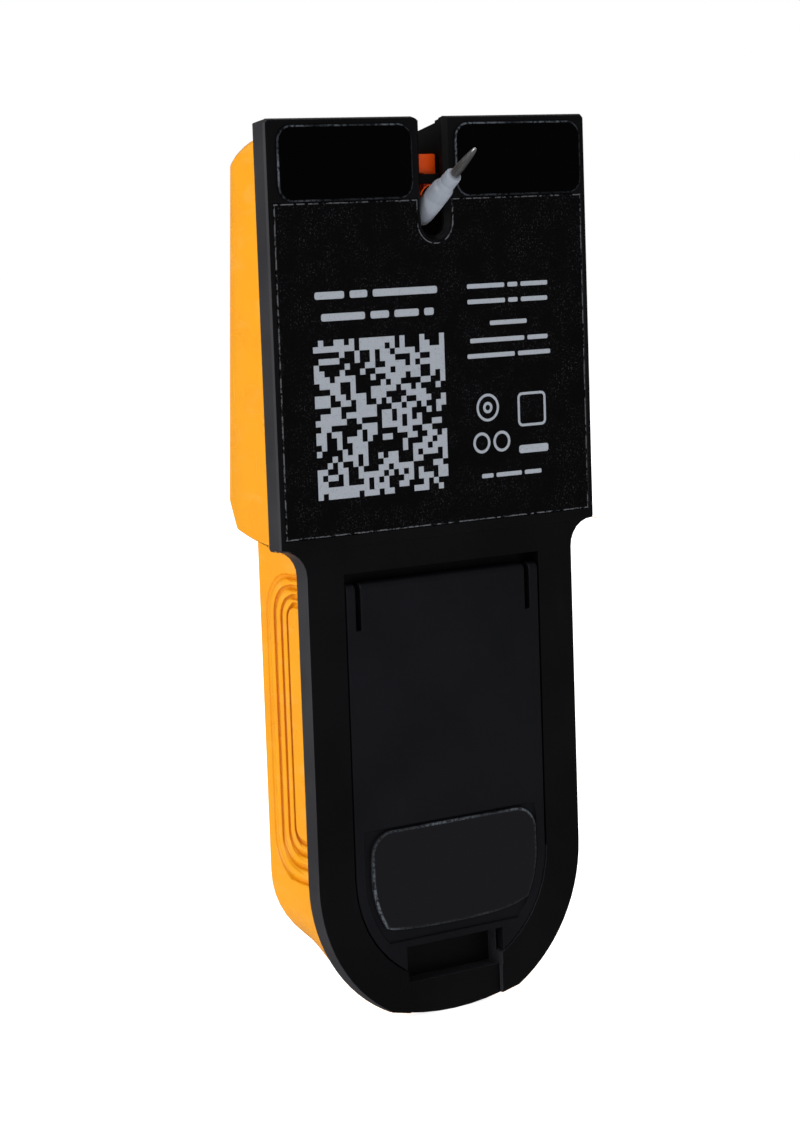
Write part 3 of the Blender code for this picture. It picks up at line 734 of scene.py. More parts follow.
# A paler copy of the frame black for its outer side walls: painted light where the walls face sideways.
LIT_WALL = Moulded("frame_wall_painted_light", (0.017, 0.017, 0.0205), (0.046, 0.044, 0.049), 0.5, 0.3, 0.004, 0.3)
DOOR = Moulded("door_black", (0.0032, 0.0034, 0.0052), (0.0068, 0.007, 0.0104), 0.52, 0.5, 0.014, 0.19)
INNER = Moulded("inner_black", (0.003, 0.003, 0.0035), (0.008, 0.008, 0.009), 0.5, 0.4, 0.008, 0.2)
CONTROL = Moulded("control_black", (0.012, 0.012, 0.013), (0.03, 0.03, 0.032), 0.5, 0.3, 0.01, 0.35)
BUTTON = Moulded("button_rubber", (0.018, 0.018, 0.02), (0.04, 0.04, 0.042), 0.62, 0.25, 0.012, 0.3)
ORANGE = Moulded("carrier_orange", (0.9, 0.075, 0.001), (0.98, 0.11, 0.003), 0.36, 0.4, 0.004, 0.3)
NOSE = Moulded("nose_white", (0.24, 0.265, 0.31), (0.34, 0.365, 0.405), 0.4, 0.5, 0.004, 0.4, 0.1)
BARREL = Moulded("barrel_grey", (0.2, 0.2, 0.21), (0.3, 0.3, 0.31), 0.42)
CHIP = Moulded("chip_black", (0.012, 0.012, 0.013), (0.03, 0.03, 0.03), 0.42, 0.2)
SWITCH = Moulded("switch_grey", (0.06, 0.06, 0.065), (0.1, 0.1, 0.105), 0.45)
DIFFUSER = Moulded("diffuser_white", (0.75, 0.75, 0.7), (0.85, 0.85, 0.82), 0.4)
LAMP = Moulded("lamp_body", (0.6, 0.58, 0.5), (0.75, 0.74, 0.68), 0.3)
RED_SKIN = Moulded("wire_red", (0.45, 0.012, 0.01), (0.55, 0.03, 0.02), 0.4)
LABEL = GrainedFilm("label_film", (0.0014, 0.0014, 0.0018), (0.034, 0.034, 0.038), (0.1, 0.105, 0.115))
GLIDE = SlidingPad("glide_film", (0.0004, 0.0004, 0.0005), (0.1, 0.115, 0.135), 0.3, 0.85, 0.05)
REST_PAD = SlidingPad("rest_pad_film", (0.0068, 0.0064, 0.0084), (0.11, 0.13, 0.15), 0.42, 0.9, 0.2)
NEEDLE = Metal("needle_steel", (0.5, 0.49, 0.48), (0.34, 0.33, 0.32), 0.34, (1.0, 0.2, 0.2))
STEEL = Metal("plated_steel", (0.55, 0.55, 0.56), (0.35, 0.35, 0.36), 0.3)
COPPER = Metal("bare_copper", (0.75, 0.33, 0.16), (0.45, 0.18, 0.09), 0.32)
INK = Print("label_ink", (0.36, 0.39, 0.44), (0.22, 0.24, 0.28))
BOARD = CircuitBoard("board_green", (0.008, 0.09, 0.03), (0.03, 0.2, 0.07))
LCD = Screen("lcd_face", (0.3, 0.36, 0.28), (0.24, 0.3, 0.24))
SEGMENT = Print("lcd_segment", (0.02, 0.024, 0.022), (0.04, 0.046, 0.04))
WINDOW = ClearPlastic("window_clear", (0.55, 0.58, 0.6), 0.22)
PIPE = ClearPlastic("pipe_red", (0.75, 0.06, 0.04), 0.8)
FOAM = CellFoam("foam_grey", (0.16, 0.16, 0.17), (0.03, 0.03, 0.03))
FLOOR = PaleSheet("floor_pale", (0.86, 0.86, 0.86), (0.9, 0.9, 0.9), 0.86)
CAN = PrintedCan("battery_can", (0.02, 0.025, 0.035), (0.7, 0.36, 0.14), 63.0)


# ---------------------------------------------------------------- mesh tools


def ring_of(half: float, steps: int, centre: Flat = (0.0, 0.0)) -> list[Flat]:
    """Points of a circle, anticlockwise."""
    turns = [2.0 * math.pi * i / steps for i in range(steps)]
    return [(centre[0] + half * math.cos(a), centre[1] + half * math.sin(a)) for a in turns]


def rounded(low: Flat, high: Flat, radius: float, steps: int = 8) -> list[Flat]:
    """A rectangle with round corners, anticlockwise.

    Args:
        low: Its lower left corner.
        high: Its upper right corner.
        radius: The corners' radius.
        steps: Segments in each corner.

    Returns:
        The outline's points.
    """
    centres = (
        (high[0] - radius, high[1] - radius, 0.0),
        (low[0] + radius, high[1] - radius, 90.0),
        (low[0] + radius, low[1] + radius, 180.0),
        (high[0] - radius, low[1] + radius, 270.0),
    )
    points = []
    for x, z, start in centres:
        for i in range(steps + 1):
            a = math.radians(start + 90.0 * i / steps)
            points.append((x + radius * math.cos(a), z + radius * math.sin(a)))
    return points


def inset(outline: Sequence[Flat], amount: float) -> list[Flat]:
    """An anticlockwise outline moved inwards.

    Args:
        outline: The points.
        amount: How far each side moves.

    Returns:
        As many points as the outline has.
    """
    moved = []
    for i, point in enumerate(outline):
        here = Vector(point)
        before = (here - Vector(outline[i - 1])).normalized()
        after = (Vector(outline[(i + 1) % len(outline)]) - here).normalized()
        normal = Vector((-before.y - after.y, before.x + after.x)).normalized()
        reach = max(0.4, normal.dot(Vector((-before.y, before.x))))
        moved.append(tuple(here + normal * (amount / reach)))
    return moved


def loft(rings: Sequence[Sequence[Sequence[float]]]) -> bmesh.types.BMesh:
    """A closed skin through rings of equal length, capped at both ends.

    Args:
        rings: Points of each ring, in order along the skin.

    Returns:
        The mesh, with its faces outward.
    """
    bm = bmesh.new()
    rows = [[bm.verts.new(point) for point in ring] for ring in rings]
    count = len(rows[0])
    for low, high in zip(rows, rows[1:]):
        for i in range(count):
            j = (i + 1) % count
            bm.faces.new((low[i], low[j], high[j], high[i]))
    bm.faces.new(rows[0][::-1])
    bm.faces.new(rows[-1])
    bmesh.ops.recalc_face_normals(bm, faces=bm.faces)
    return bm


def plate(outline: Sequence[Flat], low: float, high: float) -> bmesh.types.BMesh:
    """A prism of an outline between two depths."""
    return loft([[(x, y, z) for x, z in outline] for y in (low, high)])


@dataclass
class Workshop:
    """Turns meshes in millimetres into pieces that ride on the frame."""

    frame: dict
    made: list[str] = field(default_factory=list)

    def __post_init__(self) -> None:
        """Finds the rear face: the glide pads stand 0.45 mm out of it."""
        self.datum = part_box("glide_pad_left")[0].y + 0.45 * MM

    def place(self) -> Matrix:
        """The matrix from millimetres behind the rear face to the frame."""
        return Matrix.Translation((0.0, self.datum, 0.0)) @ Matrix.Scale(MM, 4)

    def depth(self, metres: float) -> float:
        """A frame depth as millimetres behind the rear face."""
        return (metres - self.datum) / MM

    def piece(
        self,
        name: str,
        shape: bmesh.types.BMesh,
        finish: Finish,
        body: Body,
        smooth: float = 35.0,
        stands_for: Iterable[str] = (),
        slot: str | None = None,
    ) -> bpy.types.Object:
        """Makes a shown piece of a mesh in millimetres.

        Args:
            name: The piece's name.
            shape: Its mesh, which is used up.
            finish: What it is made of.
            body: What it rides on.
            smooth: Edges under this angle are shaded smooth.
            stands_for: CAD nodes that it replaces.
            slot: The record's material slot.

        Returns:
            The piece.
        """
        bmesh.ops.transform(shape, matrix=self.place(), verts=shape.verts)
        mesh = bpy.data.meshes.new(name)
        shape.to_mesh(mesh)
        shape.free()
        mesh.materials.append(finish.material())
        mesh.shade_smooth()
        mesh.set_sharp_from_angle(angle=math.radians(smooth))
        return self.mount(name, mesh, body, stands_for, slot)

    def mount(
        self,
        name: str,
        mesh: bpy.types.Mesh,
        body: Body,
        stands_for: Iterable[str] = (),
        slot: str | None = None,
    ) -> bpy.types.Object:
        """Puts a finished mesh on a body.

        Args:
            name: The piece's name.
            mesh: Its mesh, in the frame.
            body: What it rides on.
            stands_for: CAD nodes that it replaces.
            slot: The record's material slot; not used.

        Returns:
            The piece.
        """
        made = bpy.data.objects.new(name, mesh)
        bpy.context.scene.collection.objects.link(made)
        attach(made, body.value)
        for node in stands_for:
            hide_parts(node)
        self.made.append(name)
        LOG.info("%s rides on %s", name, body.value)
        return made

    def refined(
        self, node: str, body: Body, finish: Finish, edge: float = 0.16, angle: float = 32.0
    ) -> bpy.types.Object:
        """A copy of a CAD node with softened edges and weighted normals.

        Args:
            node: The node that it stands for.
            body: What it rides on.
            finish: What it is made of.
            edge: Width of the softened edges in millimetres.
            angle: Edges sharper than this are softened.

        Returns:
            The piece.
        """
        mesh = self.frame["nodes"][node].data.copy()
        tidy = bmesh.new()
        tidy.from_mesh(mesh)
        bmesh.ops.remove_doubles(tidy, verts=tidy.verts, dist=1e-6)
        limits = {"verts": tidy.verts, "edges": tidy.edges}
        bmesh.ops.dissolve_limit(tidy, angle_limit=math.radians(0.8), **limits)
        tidy.to_mesh(mesh)
        tidy.free()
        mesh.materials.clear()
        mesh.materials.append(finish.material())
        mesh.shade_smooth()
        mesh.set_sharp_from_angle(angle=math.radians(angle + 6.0))
        rough = bpy.data.objects.new("rough", mesh)
        bpy.context.scene.collection.objects.link(rough)
        bevel = rough.modifiers.new("edges", "BEVEL")
        bevel.width = edge * MM
        bevel.segments = 2
        bevel.limit_method = "ANGLE"
        bevel.angle_limit = math.radians(angle)
        bevel.use_clamp_overlap = False
        weighted = rough.modifiers.new("normals", "WEIGHTED_NORMAL")
        weighted.keep_sharp = True
        return self.mount(f"{node}_surface", bake(rough), body, [node], slot_of(self.frame, node))

    def dress(self, finish: Finish, *nodes: str) -> None:
        """Gives CAD nodes a finish as they are.

        Args:
            finish: What they are made of.
            nodes: Their names.
        """
        for node in nodes:
            mesh = self.frame["nodes"][node].data
            mesh.materials.clear()
            mesh.materials.append(finish.material())
            LOG.info("%s dressed in %s", node, finish.name)


def bake(source: bpy.types.Object) -> bpy.types.Mesh:
    """The evaluated mesh of an object, which is then removed.

    Args:
        source: An object with live modifiers.

    Returns:
        A plain mesh of what it showed.
    """
    graph = bpy.context.evaluated_depsgraph_get()
    mesh = bpy.data.meshes.new_from_object(source.evaluated_get(graph))
    bpy.data.objects.remove(source)
    return mesh


def slot_of(frame: dict, node: str) -> str:
    """The record's material slot of a node."""
    rows = {row["node"]: row["material_slot"] for row in frame["record"]["subparts"]}
    return rows[node]


class NodeBuilder(Graph):
    """A Geometry Nodes tree with named inputs, run once on an object."""

    def __init__(self, name: str) -> None:
        """Starts an empty tree with a geometry input and output.

        Args:
            name: The tree's name.
        """
        tree = bpy.data.node_groups.new(name, "GeometryNodeTree")
        super().__init__(tree)
        tree.interface.new_socket("Geometry", in_out="INPUT", socket_type="NodeSocketGeometry")
        tree.interface.new_socket("Geometry", in_out="OUTPUT", socket_type="NodeSocketGeometry")
        self.entry = self.node("NodeGroupInput")
        self.values: dict[str, float | int] = {}

    def size(self, name: str, value: float) -> bpy.types.NodeSocket:
        """Adds a named number to the tree's inputs.

        Args:
            name: The input's name.
            value: What this run gives it, in metres, or a whole number.

        Returns:
            The socket that holds it inside the tree.
        """
        kind = "NodeSocketInt" if isinstance(value, int) else "NodeSocketFloat"
        made = self.tree.interface.new_socket(name, in_out="INPUT", socket_type=kind)
        self.values[made.identifier] = value
        return self.entry.outputs[name]

    def thinned_grid(
        self, spots: dict, tile: Sequence[float], empty: float, seed: object, centre: Sequence[float]
    ) -> bpy.types.NodeSocket:
        """Stands a grid of equal blocks upright, with a seeded share of them left out.

        Args:
            spots: The grid's sides and counts, by the grid node's input names.
            tile: The block's three sides in metres.
            empty: The share that is left out.
            seed: The draw's seed.
            centre: Where the middle of the grid stands, in metres.

        Returns:
            The geometry socket of the standing grid.
        """
        grid = self.node("GeometryNodeMeshGrid", None, spots)
        chance = {"Probability": empty, "Seed": seed}
        drop = self.node("FunctionNodeRandomValue", {"data_type": "BOOLEAN"}, chance)
        kept = {0: grid.outputs[0], 1: drop.outputs[3]}
        sparse = self.node("GeometryNodeDeleteGeometry", {"domain": "POINT"}, kept)
        block = self.node("GeometryNodeMeshCube", None, {"Size": tuple(tile)})
        placed = {0: sparse.outputs[0], "Instance": block.outputs[0]}
        spread = self.node("GeometryNodeInstanceOnPoints", None, placed)
        upright = (math.radians(90.0), 0.0, 0.0)
        turn = {"Geometry": spread.outputs[0], "Translation": tuple(centre), "Rotation": upright}
        return self.node("GeometryNodeTransform", None, turn).outputs[0]

    def run(self, shape: object, finish: Finish, on: bpy.types.ID | None = None) -> bpy.types.Mesh:
        """Closes the tree and runs it.

        Args:
            shape: The geometry socket to show.
            finish: What the result is made of.
            on: A curve or mesh that the tree reads; an empty mesh without it.

        Returns:
            The plain mesh.
        """
        real = self.node("GeometryNodeRealizeInstances", None, {0: shape})
        skin = {0: real.outputs[0], "Material": finish.material()}
        dressed = self.node("GeometryNodeSetMaterial", None, skin)
        self.node("NodeGroupOutput", None, {0: dressed.outputs[0]})
        holder = bpy.data.objects.new(self.tree.name, on or bpy.data.meshes.new(self.tree.name))
        bpy.context.scene.collection.objects.link(holder)
        modifier = holder.modifiers.new(self.tree.name, "NODES")
        modifier.node_group = self.tree
        for identifier, value in self.values.items():
            modifier[identifier] = value
        return bake(holder)


# ---------------------------------------------------------------- sub-assemblies


@dataclass
class RearSide:
    """The black frame, its label film and the two glide pads."""

    shop: Workshop
    label_half: float = 38.4
    label_low: float = 103.8
    label_high: float = 170.9
    notch_x: float = 0.55
    notch_reach: float = 4.3
    notch_z: float = 166.3
    wall_half: float = 33.0
    pad_half: float = 16.2
    pad_low: float = 171.2
    pad_high: float = 186.3
    pad_corner: float = 3.3
    pad_centres: tuple[float, float] = (-21.1, 22.1)

    def build(self) -> None:
        """Makes every piece of the rear side."""
        self.paint_wall_light(self.shop.refined("rear_shell", Body.HOUSING, FRAME, 0.1, 28.0))
        self.build_label()
        for name, centre in zip(("glide_pad_left", "glide_pad_right"), self.pad_centres):
            low = (centre - self.pad_half, self.pad_low)
            high = (centre + self.pad_half, self.pad_high)
            outline = rounded(low, high, self.pad_corner, 10)
            film = edged_film(outline, -0.03, -0.45, 0.28)
            self.shop.piece(f"{name}_film", film, GLIDE, Body.HOUSING, 50.0, [name], "glide_pad")

    def paint_wall_light(self, shell: bpy.types.Object) -> None:
        """Gives the frame's outer side walls a paler copy of the frame black, as painted light on walls that
        face sideways, with a satin gloss.
        """
        shell.data.materials.append(LIT_WALL.material())
        # Outer walls facing sideways take the paler black of painted light.
        for face in shell.data.polygons:
            outer = abs(face.center.x) > self.wall_half * MM or face.center.z < 30.0 * MM
            if outer and abs(face.normal.y) < 0.6 and math.hypot(face.normal.x, face.normal.z) > 0.7:
                face.material_index = 1

    def build_label(self) -> None:
        """The grained film, cut out round the notch."""
        turns = [math.pi * i / 24.0 for i in range(25)]
        reach = self.notch_reach
        middle = self.notch_x
        scoop = [(middle + reach * math.cos(a), self.notch_z - reach * math.sin(a)) for a in turns]
        sides = [(-self.label_half, self.label_high), (-self.label_half, self.label_low)]
        sides += [(self.label_half, self.label_low), (self.label_half, self.label_high)]
        outline = sides + [(middle + reach, self.label_high)] + scoop + [(middle - reach, self.label_high)]
        film = edged_film(outline, 0.26, 0.0, 0.22)
        self.shop.piece("rear_label_film", film, LABEL, Body.HOUSING, 50.0, ["rear_label"], "label_film")


def edged_film(outline: Sequence[Flat], back: float, face: float, rim: float) -> bmesh.types.BMesh:
    """A thin pad or film whose face carries a rim value that fades inwards, for a painted edge highlight.

    Args:
        outline: Its edge, anticlockwise.
        back: Depth of its hidden side.
        face: Depth of its shown side.
        rim: Width of the rim in millimetres.

    Returns:
        The mesh, with a float layer named rim on its vertices for the painted edge highlight, and a second
        layer for the highlight's share on the left and top edges.
    """
    soft = min(0.12, abs(back - face) * 0.4)
    # The third value of each level is how much painted edge highlight its ring carries.
    levels = ((0.0, back, 0.0), (0.0, face + soft, 0.7), (soft * 0.3, face + soft * 0.3, 1.0))
    levels += ((soft, face, 1.0), (soft + rim * 0.5, face, 1.0), (soft + rim, face, 0.0))
    rings = [[(x, y, z) for x, z in inset(outline, amount)] for amount, y, _ in levels]
    bm = loft(rings)
    layer = bm.verts.layers.float.new("rim")
    lit_side = bm.verts.layers.float.new("lit_side")
    left, right = min(x for x, _ in outline), max(x for x, _ in outline)
    low, high = min(z for _, z in outline), max(z for _, z in outline)
    bm.verts.ensure_lookup_table()
    for index, vert in enumerate(bm.verts):
        x, z = outline[index % len(outline)]
        vert[layer] = levels[index // len(outline)][2]
        # Share of the painted edge highlight: full on the left and top edges, falling away from them.
        vert[lit_side] = max(1.0 - 5.0 * (x - left) / (right - left), 0.9 - 4.0 * (high - z) / (high - low), 0.0)
    return bm


@dataclass
class LabelMarks:
    """Plain pale marks on the label: a cell block, rows of bars and simple shapes."""

    shop: Workshop
    thick: float = 0.03
    block_low: Flat = (-29.8, 111.9)
    cells: int = 26
    pitch: float = 1.19
    overlap: float = 1.04
    empty: float = 0.46
    seed: int = 7

    def build(self) -> None:
        """Makes the marks."""
        self.shop.mount("label_cell_block", self.cell_block(), Body.HOUSING, (), "label_film")
        marks = bmesh.new()
        for row in self.rows():
            self.add_row(marks, *row)
        self.add_frame(marks, ring_of(2.9, 40, (12.4, 127.2)), 0.55)
        self.add_frame(marks, ring_of(1.2, 24, (12.4, 127.2)), 0.6)
        self.add_frame(marks, rounded((20.2, 122.6), (27.6, 129.8), 1.2, 6), 0.55)
        self.add_bar(marks, 20.3, 28.0, 117.8, 1.7)
        self.add_frame(marks, ring_of(2.2, 32, (10.6, 119.9)), 0.6)
        self.add_frame(marks, ring_of(2.2, 32, (15.8, 119.9)), 0.6)
        self.shop.piece("label_bars", marks, INK, Body.HOUSING, 30.0, (), "label_film")

    def rows(self) -> list[tuple[float, float, float, float, tuple[float, ...]]]:
        """Start, end, height and thickness of each row of bars, with the bars' shares."""
        return [
            (-29.6, 0.4, 152.4, 1.5, (4.0, 2.4, 9.0)),
            (-28.2, -0.6, 148.0, 1.5, (7.0, 3.0, 4.0, 1.6)),
            (8.0, 28.9, 152.6, 0.95, (6.0, 1.6, 4.4)),
            (8.0, 28.8, 149.4, 0.95, (6.4, 1.6, 4.6)),
            (13.6, 23.2, 144.8, 0.95, (5.0,)),
            (8.4, 28.6, 141.3, 0.95, (9.0, 3.4)),
            (7.6, 29.2, 138.1, 0.95, (7.2, 5.0)),
            (10.4, 26.0, 112.9, 0.9, (1.6, 3.6, 2.4)),
        ]

    def add_row(
        self, bm: bmesh.types.BMesh, start: float, end: float, z: float, tall: float, shares: Sequence[float]
    ) -> None:
        """Adds one row of rounded bars.

        Args:
            bm: The mesh that takes them.
            start: Where the row starts.
            end: Where it ends.
            z: Its height on the label.
            tall: The bars' thickness.
            shares: Relative lengths of the bars.
        """
        gap = tall * 0.9
        unit = (end - start - gap * (len(shares) - 1)) / sum(shares)
        x = start
        for share in shares:
            self.add_bar(bm, x, x + share * unit, z, tall)
            x += share * unit + gap

    def add_bar(self, bm: bmesh.types.BMesh, x0: float, x1: float, z: float, tall: float) -> None:
        """Adds one rounded bar about a height."""
        outline = rounded((x0, z - tall / 2.0), (x1, z + tall / 2.0), tall * 0.3, 3)
        self.merge(bm, plate(outline, -self.thick, 0.02))

    def add_frame(self, bm: bmesh.types.BMesh, outline: Sequence[Flat], wide: float) -> None:
        """Adds an outline drawn as a line.

        Args:
            bm: The mesh that takes it.
            outline: The line's outer edge, anticlockwise.
            wide: The line's width.
        """
        inner = inset(outline, wide)
        turns = ((outline, 0.02), (outline, -self.thick), (inner, -self.thick), (inner, 0.02))
        rings = [[(x, y, z) for x, z in line] for line, y in turns]
        band = bmesh.new()
        rows = [[band.verts.new(point) for point in ring] for ring in rings]
        for low, high in zip(rows, rows[1:] + rows[:1]):
            for i in range(len(outline)):
                j = (i + 1) % len(outline)
                band.faces.new((low[i], low[j], high[j], high[i]))
        bmesh.ops.recalc_face_normals(band, faces=band.faces)
        self.merge(bm, band)

    @staticmethod
    def merge(target: bmesh.types.BMesh, extra: bmesh.types.BMesh) -> None:
        """Moves one mesh into another.

        Args:
            target: The mesh that grows.
            extra: The mesh that is used up.
        """
        carrier = bpy.data.meshes.new("carrier")
        extra.to_mesh(carrier)
        extra.free()
        target.from_mesh(carrier)
        bpy.data.meshes.remove(carrier)

    def cell_block(self) -> bpy.types.Mesh:
        """A square of cells, a seeded half of which are printed."""
        tree = NodeBuilder("cell_block")
        pitch = tree.size("Pitch", self.pitch * MM)
        count = tree.size("Cells", self.cells)
        seed = tree.size("Seed", self.seed)
        side = Field(tree, pitch) * Field(tree, count)
        spots = {"Size X": side, "Size Y": side, "Vertices X": count, "Vertices Y": count}
        wide = self.pitch * self.overlap * MM
        half = self.cells * self.pitch / 2.0
        centre = (MM * (self.block_low[0] + half), self.shop.datum, MM * (self.block_low[1] + half))
        stood = tree.thinned_grid(spots, (wide, wide, 2.0 * self.thick * MM), self.empty, seed, centre)
        return tree.run(stood, INK)


@dataclass
class GripRibs:
    """Nested crowned ribs on each flank of the handle, between the moulded grooves."""

    shop: Workshop
    depths: tuple[float, ...] = (15.6, 12.75, 10.25)
    tops: tuple[float, ...] = (94.4, 92.4, 90.7)
    lows: tuple[float, ...] = (33.5, 36.5, 39.1)
    corners: tuple[float, ...] = (7.4, 5.6, 4.0)
    seam: float = 5.6
    wide: float = 0.78
    proud: float = 0.3
    sections: tuple[Flat, ...] = (
        (4.4, 33.5), (7.0, 33.4), (10.0, 33.25), (14.0, 33.05), (17.0, 32.9), (20.6, 32.7),
    )

    def build(self) -> None:
        """Sweeps the ribs on both flanks."""
        for name, side in (("left", -1.0), ("right", 1.0)):
            mesh = self.sweep(self.paths(side))
            self.crown(mesh, side)
            mesh.shade_smooth()
            self.shop.mount(f"grip_ribs_{name}", mesh, Body.HOUSING, (), "yellow_housing")

    def flank(self, depth: float) -> float:
        """Half width of the handle at a depth on its straight flank."""
        for (y0, a0), (y1, a1) in zip(self.sections, self.sections[1:]):
            if depth <= y1:
                return a0 + (a1 - a0) * (depth - y0) / (y1 - y0)
        return self.sections[-1][1]

    def crown(self, mesh: bpy.types.Mesh, side: float) -> None:
        """Presses round ribs down to low crowns on the flank.

        Args:
            mesh: The swept ribs.
            side: Minus one for the left flank, one for the right.
        """
        for vert in mesh.vertices:
            level = side * self.flank(self.shop.depth(vert.co.y)) * MM
            vert.co.x = level + (vert.co.x - level) * self.proud / self.wide

    def paths(self, side: float) -> bpy.types.Curve:
        """Centre lines of the ribs on one flank.

        Args:
            side: Minus one for the left flank, one for the right.

        Returns:
            A curve with one spline for each rib.
        """
        curve = bpy.data.curves.new("rib_paths", "CURVE")
        curve.dimensions = "3D"
        for depth, top, low, corner in zip(self.depths, self.tops, self.lows, self.corners):
            line = self.d_line(depth, top, low, corner)
            spline = curve.splines.new("POLY")
            spline.points.add(len(line) - 1)
            for point, (y, z) in zip(spline.points, line):
                place = self.shop.place() @ Vector((side * self.flank(y), y, z))
                point.co = (*place, 1.0)
        return curve

    def d_line(self, depth: float, top: float, low: float, corner: float) -> list[Flat]:
        """A long D that starts and ends near the seam.

        Args:
            depth: How far it reaches from the rear face.
            top: Height of its upper side.
            low: Height of its lower side.
            corner: Radius of its two corners.

        Returns:
            Depths and heights along it.
        """
        line = [(self.seam, low), (depth - corner, low)]
        for i in range(1, 13):
            a = math.radians(-90.0 + 7.5 * i)
            line.append((depth - corner + corner * math.cos(a), low + corner + corner * math.sin(a)))
        for i in range(13):
            a = math.radians(7.5 * i)
            line.append((depth - corner + corner * math.cos(a), top - corner + corner * math.sin(a)))
        return line + [(self.seam, top)]

    def sweep(self, paths: bpy.types.Curve) -> bpy.types.Mesh:
        """Sweeps a round profile along the lines, thinner towards their ends.

        Args:
            paths: The centre lines.

        Returns:
            The ribs' mesh.
        """
        tree = NodeBuilder("grip_ribs")
        wide = tree.size("Rib width", self.wide * MM)
        pace = tree.size("Step", 0.9 * MM)
        even = {"Curve": tree.entry.outputs[0], "Length": pace}
        lines = tree.node("GeometryNodeResampleCurve", {"mode": "LENGTH"}, even)
        along = Field(tree, tree.node("GeometryNodeSplineParameter").outputs["Factor"])
        ends = (along.eased(0.0, 0.05) * (1.0 - along).eased(0.0, 0.05)) * 0.92 + 0.08
        profile = {"Resolution": 14, "Radius": wide}
        ring = tree.node("GeometryNodeCurvePrimitiveCircle", {"mode": "RADIUS"}, profile)
        pipe = {"Curve": lines.outputs[0], "Profile Curve": ring.outputs[0], "Fill Caps": True, "Scale": ends}
        return tree.run(tree.node("GeometryNodeCurveToMesh", None, pipe).outputs[0], YELLOW, paths)


@dataclass
class DoorSide:
    """The battery door, its rest pad and its foam."""

    shop: Workshop
    pad_half: float = 21.2
    pad_shift: float = 0.55
    pad_low: float = 18.4
    pad_high: float = 41.2
    pad_corner: float = 5.2
    centre_z: float = 31.7

    def build(self) -> None:
        """Makes the door's pieces."""
        self.shop.refined("battery_door", Body.DOOR, DOOR, 0.2)
        film = edged_film(self.pad_outline(), 0.72, -0.15, 0.5)
        self.shop.piece("door_pad_film", film, REST_PAD, Body.DOOR, 50.0, ["door_pad"], "door_pad_rubber")
        self.shop.dress(FOAM, "door_foam")

    def pad_outline(self) -> list[Flat]:
        """The pad's edge: round below, soft corners above."""
        start = math.asin((self.centre_z - self.pad_low) / self.pad_half)
        turns = [start * i / 28.0 for i in range(29)]
        left = [(-self.pad_half * math.cos(a), self.centre_z - self.pad_half * math.sin(a)) for a in turns]
        right = [(-x, z) for x, z in reversed(left)]
        low, high = (-self.pad_half, self.pad_low), (self.pad_half, self.pad_high)
        top = rounded(low, high, self.pad_corner, 10)[:22]
        return [(x + self.pad_shift, z) for x, z in self.softened(left + right) + top]

    @staticmethod
    def softened(line: list[Flat]) -> list[Flat]:
        """Rounds the two lower corners of the pad's edge.

        Args:
            line: The lower edge, from left to right.

        Returns:
            The same number of points, smoothed round the corners.
        """
        smooth = list(line)
        for _ in range(5):
            for i in range(22, len(line) - 22):
                before, after = smooth[i - 1], smooth[i + 1]
                smooth[i] = ((before[0] + after[0]) / 2.0, (before[1] + after[1]) / 2.0)
        return smooth


@dataclass
class MarkerUnit:
    """The fine-tipped marker and its orange carrier."""

    shop: Workshop
    tip: tuple[float, float, float] = (0.55, -14.85, 180.6)
    out: tuple[float, float, float] = (0.0, -0.84, 0.5426)
    length: float = 23.0
    nib: tuple[Flat, ...] = (
        (1.0, 14.05), (1.0, 14.8), (0.97, 15.8), (0.91, 17.2), (0.82, 18.8), (0.7, 20.4), (0.57, 21.7),
        (0.44, 22.5), (0.26, 22.9), (0.1, 22.99),
    )
    nose: tuple[Flat, ...] = (
        (2.3, -0.2), (2.42, -0.1), (2.45, 0.2), (2.44, 3.2), (2.38, 6.0), (2.36, 6.06), (2.36, 6.2),
        (2.38, 6.26),
        (2.3, 8.6), (2.24, 9.1), (2.12, 9.42), (1.94, 9.6), (1.84, 9.78), (1.8, 10.1), (1.79, 11.2),
        (1.76, 11.24),
        (1.76, 11.36), (1.78, 11.4), (1.74, 13.2), (1.68, 13.6), (1.52, 13.88), (1.28, 14.0),
    )

    def build(self) -> None:
        """Makes the marker's pieces."""
        needle = self.turned(self.nib, 40)
        self.shop.piece("marker_needle", needle, NEEDLE, Body.MARKER, 40.0, ["marker_nib"], "marker_needle")
        nose = self.turned(self.nose, 64)
        cone = ("marker_nose_cone", nose, NOSE, Body.MARKER, 45.0)
        self.shop.piece(*cone, ["marker_nose"], "marker_nose_white")
        self.shop.dress(BARREL, "marker_barrel")
        self.shop.refined("marker_carriage", Body.MARKER, ORANGE, 0.12)
        self.shop.refined("marker_slider", Body.SLIDER, ORANGE, 0.2)
        self.shop.dress(INNER, "marker_ramp")

    def turned(self, profile: Sequence[Flat], steps: int) -> bmesh.types.BMesh:
        """A solid turned about the marker's axis; nought is the marker's rear end.

        Args:
            profile: Radius and distance from the rear end, in millimetres.
            steps: How many facets it has round its axis.

        Returns:
            The turned mesh.
        """
        bm = loft([[(x, y, z) for x, y in ring_of(radius, steps)] for radius, z in profile])
        axis = Vector(self.out).normalized()
        turn = Vector((0.0, 0.0, 1.0)).rotation_difference(axis).to_matrix().to_4x4()
        start = Vector(self.tip) - axis * self.length
        bmesh.ops.transform(bm, matrix=Matrix.Translation(start) @ turn, verts=bm.verts)
        return bm


